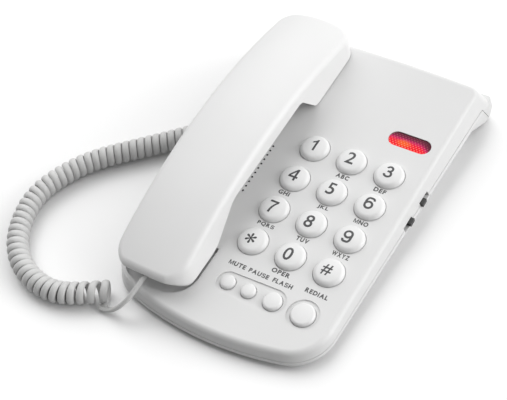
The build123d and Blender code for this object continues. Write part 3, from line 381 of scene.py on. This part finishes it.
def plated_steel(name, colour, dull):
    material, shader, paint = new_finish(name)
    long_way = paint.node("ShaderNodeMapping", {}, {"Vector": paint.place(), "Scale": SCRATCH_SCALE})
    scratch = long_way.noise(1.0, SCRATCH_DETAIL)
    two_tone(shader, scratch, colour, dull, roughness=0.28, change=0.2)
    shader.inputs["Metallic"].default_value = 1.0
    return material


steel = plated_steel("steel", (0.62, 0.62, 0.63, 1), (0.48, 0.48, 0.47, 1))
dress(steel, "housing_screws", "board_screws", "handset_screws", "weight_bar")


# Sockets and plugs: the sockets are moulded from off-white plastic and sit in the base and in the
# handset. The plugs at the ends of the cord are clear polycarbonate and click into them.
jack_plastic = moulded_plastic(
    "jack_plastic", (0.70, 0.70, 0.68, 1), (0.66, 0.66, 0.64, 1), roughness=0.5, grain=0.1
)
dress(jack_plastic, "line_jack", "base_handset_jack", "handset_jack")


FLOW_SCALE = 420.0
FLOW_DETAIL = 2.0
PLUG_CLEAR = 0.75
POLYCARBONATE_IOR = 1.58


def clear_plug(name, colour, haze):
    material, shader, paint = new_finish(name)
    flow = paint.place().noise(FLOW_SCALE, FLOW_DETAIL)
    two_tone(shader, flow, colour, haze, roughness=0.08, change=0.12)
    shader.inputs["Transmission Weight"].default_value = PLUG_CLEAR
    shader.inputs["IOR"].default_value = POLYCARBONATE_IOR
    return material


plug_plastic = clear_plug("plug_plastic", (0.90, 0.90, 0.89, 1), (0.82, 0.82, 0.80, 1))
dress(plug_plastic, "cord_plug_base", "cord_plug_handset")


# Digit keys and function buttons: caps of white plastic, moulded smoother than the housing, so that
# they carry a soft highlight. They ride up and down in holes in the panel, on the mat's domes.
key_plastic = moulded_plastic(
    "key_plastic", (0.79, 0.79, 0.79, 1), (0.765, 0.765, 0.762, 1), roughness=0.34, grain=0.05
)
dress(key_plastic, *key_places, *button_places)


# Digits on the key caps: a thin film of dark grey ink, pad printed with a soft pad, so that the
# print follows the crown of the cap.
INK_SPREAD = 1500.0
INK_DETAIL = 3.0


def printing_ink(name, colour, thin):
    material, shader, paint = new_finish(name)
    spread = paint.place().noise(INK_SPREAD, INK_DETAIL)
    two_tone(shader, spread, colour, thin, roughness=0.45, change=0.15)
    return material


dark_ink = printing_ink("dark_ink", (0.035, 0.035, 0.038, 1), (0.06, 0.06, 0.062, 1))


def surface_under(node):
    """What a print lies on: the CAD node's own surface."""
    mesh = nodes[node].data
    return BVHTree.FromPolygons([v.co for v in mesh.vertices], [p.vertices for p in mesh.polygons])


DIGIT_PEN = 0.118
LETTER_PEN = 0.145
SIX_WIDTH = 0.575
SIX_HEIGHT = 0.712
SIX_STROKE = (
    (0.482, 0.535), (0.472, 0.612), (0.395, 0.667), (0.300, 0.667), (0.175, 0.667), (0.096, 0.560),
    (0.090, 0.360), (0.092, 0.156), (0.206, 0.045), (0.368, 0.045), (0.482, 0.156), (0.482, 0.314),
    (0.368, 0.425), (0.206, 0.425), (0.110, 0.320),
)
NINE_STROKE = tuple((SIX_WIDTH - x, SIX_HEIGHT - y) for x, y in SIX_STROKE)
S_STROKE = (
    (0.510, 0.520), (0.495, 0.640), (0.300, 0.650), (0.095, 0.645), (0.090, 0.500), (0.095, 0.385),
    (0.300, 0.345), (0.520, 0.300), (0.525, 0.175), (0.525, 0.035), (0.300, 0.035), (0.085, 0.035),
    (0.070, 0.170),
)
drawn_strokes = {
    "6": (DIGIT_PEN, SIX_STROKE),
    "9": (DIGIT_PEN, NINE_STROKE),
    "S": (LETTER_PEN, S_STROKE),
}
drawn_outlines = {
    "1": (
        ((0.386, -0.012), (0.386, 0.731), (0.316, 0.731), (0.258, 0.652), (0.186, 0.592),
         (0.097, 0.545), (0.097, 0.440), (0.195, 0.480), (0.272, 0.530), (0.272, -0.012)),
    ),
    "3": (
        ((0.074, 0.562), (0.100, 0.626), (0.144, 0.679), (0.203, 0.713), (0.270, 0.726),
         (0.338, 0.716), (0.399, 0.684), (0.445, 0.634), (0.473, 0.571), (0.479, 0.503),
         (0.463, 0.436), (0.425, 0.379), (0.451, 0.358), (0.495, 0.302), (0.517, 0.237),
         (0.517, 0.169), (0.493, 0.105), (0.448, 0.050), (0.386, 0.010), (0.314, -0.011),
         (0.238, -0.011), (0.166, 0.009), (0.104, 0.048), (0.058, 0.103), (0.034, 0.167),
         (0.147, 0.191), (0.168, 0.145), (0.211, 0.112), (0.267, 0.098), (0.325, 0.106),
         (0.372, 0.135), (0.400, 0.178), (0.401, 0.227), (0.377, 0.271), (0.332, 0.302),
         (0.275, 0.313), (0.200, 0.313), (0.200, 0.425), (0.275, 0.425), (0.317, 0.436),
         (0.350, 0.468), (0.364, 0.512), (0.356, 0.558), (0.330, 0.594), (0.289, 0.613),
         (0.246, 0.609), (0.209, 0.583), (0.189, 0.542)),
    ),
    "4": (
        ((0.020, 0.150), (0.340, 0.150), (0.340, 0.262), (0.140, 0.262), (0.340, 0.540),
         (0.340, 0.716), (0.020, 0.270)),
        ((0.340, -0.012), (0.458, -0.012), (0.458, 0.150), (0.550, 0.150), (0.550, 0.262),
         (0.458, 0.262), (0.458, 0.731), (0.352, 0.731), (0.340, 0.716), (0.340, 0.540),
         (0.340, 0.262), (0.340, 0.150)),
    ),
    "7": (
        ((0.165, -0.012), (0.290, -0.012), (0.305, 0.160), (0.350, 0.330), (0.430, 0.490),
         (0.530, 0.625), (0.530, 0.731), (0.035, 0.731), (0.035, 0.615), (0.405, 0.615),
         (0.310, 0.480), (0.235, 0.330), (0.185, 0.160)),
    ),
    "M": (
        ((0.050, -0.022), (0.175, -0.022), (0.175, 0.520), (0.375, -0.022), (0.485, -0.022),
         (0.685, 0.520), (0.685, -0.022), (0.810, -0.022), (0.810, 0.704), (0.635, 0.704),
         (0.430, 0.160), (0.225, 0.704), (0.050, 0.704)),
    ),
}


ROUTE_STEPS = 16


def smooth_route(name, points):
    """Points of a smooth line past the given points, as a pen or a cord takes it."""
    curve = bpy.data.curves.new(name, "CURVE")
    curve.dimensions = "3D"
    spline = curve.splines.new("NURBS")
    spline.points.add(len(points) - 1)
    for point, place in zip(spline.points, points):
        point.co = (*place, 1.0)
    spline.order_u = 3
    spline.use_endpoint_u = True
    spline.resolution_u = ROUTE_STEPS
    holder = bpy.data.objects.new(name, curve)
    line = bpy.data.meshes.new_from_object(holder)
    found = [vertex.co.copy() for vertex in line.vertices]
    bpy.data.objects.remove(holder)
    return found


FONT_STEPS = 4


def letter_mesh(name, letter, bold):
    """One flat letter, about a unit high, from the listed outlines and strokes or from Blender's font,
    which is widened by bold.
    """
    points = []
    faces = []
    for outline in drawn_outlines.get(letter, ()):
        faces.append(tuple(range(len(points), len(points) + len(outline))))
        points += [(x, y, 0.0) for x, y in outline]
    if letter in drawn_strokes:
        stroke_width, stroke = drawn_strokes[letter]
        line = smooth_route(name, [(x, y, 0.0) for x, y in stroke])
        for before, centre, after in zip(line[:1] + line, line, line[1:] + line[-1:]):
            heading = after - before
            side = Vector((-heading.y, heading.x, 0)).normalized() * (stroke_width / 2)
            points += [centre + side, centre - side]
        faces += [(k, k + 1, k + 3, k + 2) for k in range(0, 2 * len(line) - 2, 2)]
    if faces:
        mesh = bpy.data.meshes.new(name)
        mesh.from_pydata(points, [], faces)
        return mesh
    text = bpy.data.curves.new(name, "FONT")
    text.body = letter
    text.resolution_u = FONT_STEPS
    text.offset = bold
    holder = bpy.data.objects.new(name, text)
    mesh = bpy.data.meshes.new_from_object(holder)
    bpy.data.objects.remove(holder)
    return mesh


LETTER_GAP = 0.13
LETTER_JOIN = 0.0005


def words_mesh(name, words, bold):
    """Flat letters side by side, with an even gap."""
    line = bmesh.new()
    reach = 0.0
    for letter in words:
        glyph = letter_mesh(name, letter, bold)
        left = min(vertex.co.x for vertex in glyph.vertices)
        right = max(vertex.co.x for vertex in glyph.vertices)
        glyph.transform(Matrix.Translation((reach - left, 0.0, 0.0)))
        line.from_mesh(glyph)
        bpy.data.meshes.remove(glyph)
        reach += right - left + LETTER_GAP
    bmesh.ops.remove_doubles(line, verts=line.verts[:], dist=LETTER_JOIN)
    mesh = bpy.data.meshes.new(name)
    line.to_mesh(mesh)
    line.free()
    return mesh


INK_THICK = 0.00005
INK_STEP = 0.0008
INK_ROUNDS = 4
PRINT_FROM = 0.03


def print_flat(name, mesh, place, height, width, node, body, ink):
    """Prints a flat shape on a CAD node, centred on a place of the panel, by height and width."""
    points = np.array([v.co for v in mesh.vertices])
    low, high = points.min(0), points.max(0)
    middle = (low + high) / 2
    tall = height / (high[1] - low[1])
    wide = width / (high[0] - low[0]) if width else tall
    ground = surface_under(node)
    film = bmesh.new()
    film.from_mesh(mesh)
    for vertex in film.verts:
        across = place[0] + (vertex.co.x - middle[0]) * wide
        along = place[1] + (vertex.co.y - middle[1]) * tall
        vertex.co = (across, along, 0.0)
    for _ in range(INK_ROUNDS):
        long_edges = [edge for edge in film.edges if edge.calc_length() > INK_STEP]
        bmesh.ops.subdivide_edges(film, edges=long_edges, cuts=1)
        bmesh.ops.triangulate(film, faces=film.faces[:])
    for vertex in film.verts:
        across, along, _ = vertex.co
        above = panel_origin + from_panel(across, along, PRINT_FROM)
        hit = ground.ray_cast(above, -panel_up)[0]
        vertex.co = hit + panel_up * INK_THICK
    film.to_mesh(mesh)
    film.free()
    print_piece = bpy.data.objects.new(name, mesh)
    bpy.context.scene.collection.objects.link(print_piece)
    mesh.materials.clear()
    mesh.materials.append(ink)
    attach(print_piece, body)


DIGIT_HEIGHT = 0.0076
SIGN_HEIGHT = 0.0064
UPPER_SHIFT = (-0.0004, 0.0008)
LOWER_SHIFT = (-0.0008, -0.0001)
DIGIT_BOLD = 0.012
signs = {"key_star": "*", "key_hash": "#"}
for key, (across, along) in key_places.items():
    title = key.replace("key", "digit")
    shape = words_mesh(title, signs.get(key, key[-1]), DIGIT_BOLD)
    tall = SIGN_HEIGHT if key in signs else DIGIT_HEIGHT
    shift_x, shift_y = UPPER_SHIFT if along >= 0 else LOWER_SHIFT
    print_flat(title, shape, (across + shift_x, along + shift_y), tall, None, key, key, dark_ink)


# Letters and names on the panel: a film of grey ink, screen printed on the flat plastic, in front of
# most of the keys and behind the function buttons.
grey_ink = printing_ink("grey_ink", (0.045, 0.045, 0.048, 1), (0.07, 0.07, 0.07, 1))
LETTER_HEIGHT = 0.0027
LETTER_DROP = 0.0102
LETTER_BOLD = 0.040
letter_groups = {
    "key_2": ("ABC", 0.0075, 0.0001),
    "key_3": ("DEF", 0.0069, -0.0002),
    "key_4": ("GHI", 0.0066, -0.0008),
    "key_5": ("JKL", 0.0062, 0.0003),
    "key_6": ("MNO", 0.0082, 0.0003),
    "key_7": ("PQRS", 0.0099, 0.0007),
    "key_8": ("TUV", 0.0072, 0.0004),
    "key_9": ("WXYZ", 0.0097, 0.0003),
    "key_0": ("OPER", 0.0106, 0.0003),
}
for key, (words, width, shift) in letter_groups.items():
    across, along = key_places[key]
    title = "letters_" + words.lower()
    print_flat(
        title, words_mesh(title, words, LETTER_BOLD), (across + shift, along - LETTER_DROP),
        LETTER_HEIGHT, width, "base_top_housing", "base", grey_ink,
    )

NAME_HEIGHT = 0.0026
button_legends = (
    ("MUTE", -0.0226, -0.0590, 0.0099),
    ("PAUSE", -0.0097, -0.0590, 0.0116),
    ("FLASH", 0.0043, -0.0588, 0.0113),
    ("REDIAL", 0.0228, -0.0567, 0.0128),
)
for words, spot_x, spot_y, width in button_legends:
    title = "legend_" + words.lower()
    print_flat(
        title, words_mesh(title, words, LETTER_BOLD), (KEYPAD_X + spot_x, spot_y), NAME_HEIGHT, width,
        "base_top_housing", "base", grey_ink,
    )


# Lamp lens: a long red window of tinted plastic, set into the panel over the ringing lamp. Its
# underside is cut into fine diamonds, and their glints are painted in a pale peach colour. The
# lamp's place shows as an orange patch, and the panel's shade on the rear edge and the right end is
# painted as darker reds.
LENS_PLACE = (0.0440, 0.0448)
DIAMOND_LONG = 0.00175
DIAMOND_WIDE = 0.0025
DIAMOND_LIMIT = 0.30
DIAMOND_GLOSS = 0.1
DIAMOND_RELIEF = 0.2
DIAMOND_DEPTH = 0.0002
# Painted glints on the diamonds, weaker where the shade is painted.
PAINTED_GLINT_MOST = 1.25
PAINTED_GLINT_LOST_IN_SHADE = 1.1
PAINTED_GLINT_COLOUR = (1.0, 0.42, 0.28, 1)
PATCH_PLACE = (-0.0028, -0.0014)
PATCH_HALF_LONG = 0.0050
PATCH_HALF_WIDE = 0.0026
PATCH_MOST = 0.8
PATCH_COLOUR = (0.95, 0.15, 0.0, 1)
SHADE_MIDDLE = 0.52
SHADE_ACROSS = 0.0085
SHADE_END_FROM = 0.004
SHADE_END_LONG = 0.008
SHADE_END_MOST = 0.45
LENS_ROUGHNESS = 0.22
LENS_SHINE = 0.12
reds_by_shade = (
    (0.0, (0.92, 0.0, 0.006, 1)),
    (0.42, (0.90, 0.0, 0.03, 1)),
    (0.62, (0.60, 0.0, 0.11, 1)),
    (0.76, (0.22, 0.0, 0.05, 1)),
    (1.0, (0.10, 0.0, 0.02, 1)),
)


def ripples(way, length):
    """Even ripples along a way, from -1 to 1, each of this length."""
    return way.node("ShaderNodeMath", {"operation": "COSINE"}, {0: way * (2 * math.pi / length)})


def tinted_lens(name):
    material, shader, paint = new_finish(name)
    place = paint.place()
    across = place.part_of("X") - LENS_PLACE[0]
    along = place.part_of("Y") - LENS_PLACE[1]
    diamonds = ripples(across, DIAMOND_LONG) * ripples(along, DIAMOND_WIDE)
    from_side = (across - PATCH_PLACE[0]) * (1 / PATCH_HALF_LONG)
    from_front = (along - PATCH_PLACE[1]) * (1 / PATCH_HALF_WIDE)
    patch = 1 - from_side * from_side - from_front * from_front
    right_end = paint.sum_of("MAXIMUM", (across - SHADE_END_FROM) * (1 / SHADE_END_LONG), 0.0)
    # Painted shade: the red darkens towards the rear edge and the right end of the lens.
    shade = SHADE_MIDDLE + along * (1 / SHADE_ACROSS) + SHADE_END_MOST * right_end * right_end
    red = paint.node("ShaderNodeValToRGB", {"stops": reds_by_shade}, {"Fac": shade})
    glow = (patch * PATCH_MOST).blend(red, PATCH_COLOUR)
    # Painted highlights: the diamonds are coloured pale peach as glints, less where the shade is painted.
    painted_glints = (diamonds - DIAMOND_LIMIT) * (PAINTED_GLINT_MOST - PAINTED_GLINT_LOST_IN_SHADE * shade)
    painted_glints.blend(glow, PAINTED_GLINT_COLOUR).into(shader.inputs["Base Color"])
    (LENS_ROUGHNESS + DIAMOND_GLOSS * diamonds).into(shader.inputs["Roughness"])
    diamonds.raise_surface(shader, DIAMOND_RELIEF, DIAMOND_DEPTH)
    shader.inputs["Specular IOR Level"].default_value = LENS_SHINE
    return material


dress(tinted_lens("red_lens"), "lamp_lens", "lamp_led")


# Handset: a back shell and a front shell of the same plastic as the base, moulded with a smoother
# face, so that long soft highlights run along its arched back.
handset_plastic = moulded_plastic(
    "handset_plastic", (0.78, 0.78, 0.78, 1), (0.755, 0.755, 0.752, 1), roughness=0.36, grain=0.06
)
dress(handset_plastic, "handset_back_shell", "handset_front_shell")


# Curly cord: one flat vinyl cord from the base's plug, through the coil, to the handset's plug. It
# is wound on the flat and heat-set, so each turn lies with its broad side outwards. The coil lies
# on the table.
CORD_WIDTH = 0.0041
CORD_THICK = 0.0025
COIL_RADIUS = 0.0049
COIL_HALF_TURNS = 93
COIL_OPENING = 0.0034
COIL_OPEN_TURNS = 8
COIL_END_BACK = 0.0015
COIL_HEIGHT = 0.0065
STEPS_PER_HALF_TURN = 14
RING_SIDES = 12
HEADING_REACH = 0.002
LEAD_RUN = 0.0092
COIL_END_RUN = 0.0050
PLUG_RUN = 0.006
coil_route = (
    (-0.0725, 0.0135), (-0.0785, 0.0090), (-0.0882, -0.0010), (-0.1047, -0.0161),
    (-0.1202, -0.0316), (-0.1297, -0.0491), (-0.1337, -0.0656), (-0.1307, -0.0811),
    (-0.1227, -0.0971), (-0.1102, -0.1080), (-0.0957, -0.1133), (-0.0817, -0.1138),
    (-0.0692, -0.1081), (-0.0573, -0.1006),
)
base_lead_route = ((-0.0650, 0.0310, 0.0071), (-0.0696, 0.0300, 0.0080), (-0.0736, 0.0266, 0.0096))
handset_lead_route = (
    (-0.0576, -0.1086, 0.0017), (-0.0510, -0.1083, 0.0028), (-0.0446, -0.1068, 0.0083),
    (-0.0396, -0.1022, 0.0142),
)
base_tail = Vector((-0.05865, 0.0311, 0.0071))
handset_tail = Vector((-0.0368, -0.08773, 0.02016))


def coil_points(axis):
    """The helix of the coil round its axis: it opens up towards the handset, and its end turns back."""
    axis = np.array(axis)
    runs = np.linalg.norm(np.diff(axis, axis=0), axis=1)
    reach = np.concatenate([[0.0], np.cumsum(runs)])
    openings = []
    for turn in range(COIL_HALF_TURNS - 1):
        opened = max(0, turn - COIL_HALF_TURNS + COIL_OPEN_TURNS) / COIL_OPEN_TURNS
        openings.append(COIL_OPENING * opened / 2)
    step_length = (reach[-1] - sum(openings)) / (COIL_HALF_TURNS - 1)
    marks = [0.0]
    for opening in openings:
        marks.append(marks[-1] + step_length + opening)
    marks.append(reach[-1] - COIL_END_BACK)
    turns = np.arange(COIL_HALF_TURNS * STEPS_PER_HALF_TURN + 1) / STEPS_PER_HALF_TURN
    gone = np.interp(turns, np.arange(COIL_HALF_TURNS + 1), marks)

    def on_axis(way):
        return Vector([np.interp(way, reach, axis[:, k]) for k in range(3)])

    points = []
    outwards = []
    for turn, way in zip(turns, gone):
        centre = on_axis(way)
        heading = on_axis(way + HEADING_REACH) - on_axis(way - HEADING_REACH)
        left = Vector((0, 0, 1)).cross(heading).normalized()
        lean = math.pi * turn
        outwards.append(Vector((0, 0, math.cos(lean))) + math.sin(lean) * left)
        points.append(centre + COIL_RADIUS * outwards[-1])
    return points, outwards


def flat_cord_mesh(name, line, faces_out):
    """A closed oval jacket along a line; faces_out gives, by place, the way its broad side faces."""
    ahead = [(after - before).normalized() for before, after in zip(line, line[1:])]
    headings = [ahead[0]] + [(a + b).normalized() for a, b in zip(ahead, ahead[1:])] + [ahead[-1]]
    sides = [faces_out.get(place) for place in range(len(line))]
    for place in range(max(faces_out) + 1, len(line)):
        sides[place] = sides[place - 1] - headings[place] * sides[place - 1].dot(headings[place])
        sides[place].normalize()
    for place in range(min(faces_out) - 1, -1, -1):
        sides[place] = sides[place + 1] - headings[place] * sides[place + 1].dot(headings[place])
        sides[place].normalize()
    points = []
    for centre, heading, side in zip(line, headings, sides):
        side = (side - heading * side.dot(heading)).normalized()
        other = heading.cross(side)
        for step in range(RING_SIDES):
            turn = 2 * math.pi * step / RING_SIDES
            thin = side * (math.cos(turn) * CORD_THICK / 2)
            broad = other * (math.sin(turn) * CORD_WIDTH / 2)
            points.append(centre + thin + broad)
    faces = []
    for ring in range(len(line) - 1):
        for step in range(RING_SIDES):
            here = ring * RING_SIDES + step
            beside = ring * RING_SIDES + (step + 1) % RING_SIDES
            faces.append((here, beside, beside + RING_SIDES, here + RING_SIDES))
    faces.append(tuple(reversed(range(RING_SIDES))))
    faces.append(tuple(range(len(points) - RING_SIDES, len(points))))
    mesh = bpy.data.meshes.new(name)
    mesh.from_pydata(points, [], faces)
    mesh.shade_smooth()
    return mesh


VINYL_TONE_SCALE = 45.0
VINYL_SKIN_SCALE = 1600.0
VINYL_DETAIL = 3.0
VINYL_ROUGHNESS = 0.44
VINYL_SKIN_ON_GLOSS = 0.14
VINYL_RELIEF = 0.12
VINYL_DEPTH = 0.0001


def vinyl_jacket(name, colour, shade):
    material, shader, paint = new_finish(name)
    place = paint.place()
    tone = place.noise(VINYL_TONE_SCALE, VINYL_DETAIL)
    skin = place.noise(VINYL_SKIN_SCALE, VINYL_DETAIL)
    tone.blend(colour, shade).into(shader.inputs["Base Color"])
    gloss = VINYL_ROUGHNESS + VINYL_SKIN_ON_GLOSS * (skin - NOISE_MIDDLE)
    gloss.into(shader.inputs["Roughness"])
    skin.raise_surface(shader, VINYL_RELIEF, VINYL_DEPTH)
    return material


coil_axis = smooth_route("coil_axis", [(x, y, COIL_HEIGHT) for x, y in coil_route])
helix, turns_out = coil_points(coil_axis)
start_way = (helix[1] - helix[0]).normalized()
end_way = (helix[-1] - helix[-2]).normalized()
base_lead = smooth_route(
    "base_lead", [base_tail, *base_lead_route, helix[0] - start_way * LEAD_RUN, helix[0]]
)
handset_lead = smooth_route(
    "handset_lead",
    [helix[-1], helix[-1] + end_way * COIL_END_RUN, *handset_lead_route,
     handset_tail - panel_away * PLUG_RUN, handset_tail],
)
cord_line = base_lead + helix[1:] + handset_lead[1:]
broad_sides = {place + len(base_lead) - 1: out for place, out in enumerate(turns_out)}
cord = bpy.data.objects.new("curly_cord", flat_cord_mesh("curly_cord", cord_line, broad_sides))
bpy.context.scene.collection.objects.link(cord)
cord.data.materials.append(
    vinyl_jacket("cord_vinyl", (0.63, 0.63, 0.625, 1), (0.59, 0.59, 0.585, 1))
)
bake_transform(cord)
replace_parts(cord, "cord_coil", "cord_lead_handset", "cord_lead_base")
cord_length = sum((after - before).length for before, after in zip(cord_line, cord_line[1:]))


# Floor: a plain white table top with a faint gloss, far larger than the telephone. It is seen as
# white, but it throws only about half of its light back up at the telephone.
FLOOR_HALF = 4.0
FLOOR_SEEN = (0.97, 0.97, 0.97, 1)
FLOOR_BOUNCE = (0.5, 0.5, 0.5, 1)
FLOOR_ROUGHNESS = 0.3
corners = [(-1, -1), (1, -1), (1, 1), (-1, 1)]
floor_mesh = bpy.data.meshes.new("floor")
floor_mesh.from_pydata([(x * FLOOR_HALF, y * FLOOR_HALF, 0.0) for x, y in corners], [], [(0, 1, 2, 3)])
floor = bpy.data.objects.new("floor", floor_mesh)
bpy.context.scene.collection.objects.link(floor)


def seen_straight(paint):
    """1 where a surface is seen, also in gloss or through clear plastic; 0 where it only lights others."""
    seen = paint.node("ShaderNodeLightPath", {}, {}, "Is Camera Ray")
    for kind in ("Is Glossy Ray", "Is Transmission Ray"):
        seen = paint.sum_of("MAXIMUM", seen, paint.node("ShaderNodeLightPath", {}, {}, kind))
    return seen


floor_finish, floor_shader, floor_paint = new_finish("white_table")
floor_shader.inputs["Base Color"].default_value = FLOOR_SEEN
floor_shader.inputs["Roughness"].default_value = FLOOR_ROUGHNESS
floor_parts = {
    0: seen_straight(floor_paint),
    1: floor_paint.node("ShaderNodeBsdfDiffuse", {}, {"Color": FLOOR_BOUNCE}),
    2: Paint(floor_finish.node_tree, floor_shader.outputs["BSDF"]),
}
floor_surface = floor_finish.node_tree.nodes["Material Output"].inputs["Surface"]
floor_paint.node("ShaderNodeMixShader", {}, floor_parts).into(floor_surface)
floor_mesh.materials.append(floor_finish)


# Light: a white room that is brighter behind the telephone than in front of it, and three wide soft
# lights: a low one from the right, which lights the walls on that side, and two high ones from
# behind, on the right and on the left.
ROOM_LEVEL = 0.44
ROOM_BACK = 0.36
bpy.context.scene.view_settings.view_transform = "Standard"
world = bpy.data.worlds.new("white_room")
bpy.context.scene.world = world
world.use_nodes = True
sky = Paint(world.node_tree)
seen = seen_straight(sky)
back = sky.node("ShaderNodeTexCoord", {}, {}, "Generated").part_of("Y")
background = world.node_tree.nodes["Background"]
background.inputs["Color"].default_value = (1.0, 1.0, 1.0, 1)
((ROOM_LEVEL + ROOM_BACK * back) * (1 - seen) + seen).into(background.inputs["Strength"])


def wide_light(name, source, spread, strength):
    """A far, wide studio light that comes from a direction, as even on the table as on the object."""
    light = bpy.data.lights.new(name, "SUN")
    light.energy = strength
    light.angle = math.radians(spread)
    lamp = bpy.data.objects.new(name, light)
    lamp.location = source
    lamp.rotation_mode = "QUATERNION"
    lamp.rotation_quaternion = (-Vector(source)).to_track_quat("-Z", "Y")
    bpy.context.scene.collection.objects.link(lamp)


wide_light("low_right_light", source=(0.9, 0.3, 0.2), spread=50.0, strength=1.75)
wide_light("back_right_light", source=(0.75, 0.50, 0.75), spread=50.0, strength=0.75)
wide_light("left_light", source=(-0.6, 0.4, 0.8), spread=60.0, strength=1.35)


# Camera: it stands where the photograph was taken from, in front of the telephone, on its right and
# above it. Its axes are given in the directions of the panel, and its place from key 5.
LENS_LENGTH_MM = 81.894
SENSOR_WIDTH_MM = 36.0
camera_data = bpy.data.cameras.new("camera")
camera_data.lens = LENS_LENGTH_MM
camera_data.sensor_width = SENSOR_WIDTH_MM
camera = bpy.data.objects.new("camera", camera_data)
bpy.context.scene.collection.objects.link(camera)
camera_right = from_panel(0.8421426, 0.5105904, -0.1734741)
camera_down = from_panel(0.3361539, -0.7485999, -0.5714881)
camera_ahead = from_panel(-0.4216590, 0.4229605, -0.8020649)
camera_place = panel_origin + from_panel(0.2214 + KEYPAD_X, -0.2792, 0.4896)
axes = Matrix((camera_right, -camera_down, -camera_ahead)).transposed().to_4x4()
camera.matrix_world = Matrix.Translation(camera_place) @ axes
bpy.context.scene.camera = camera
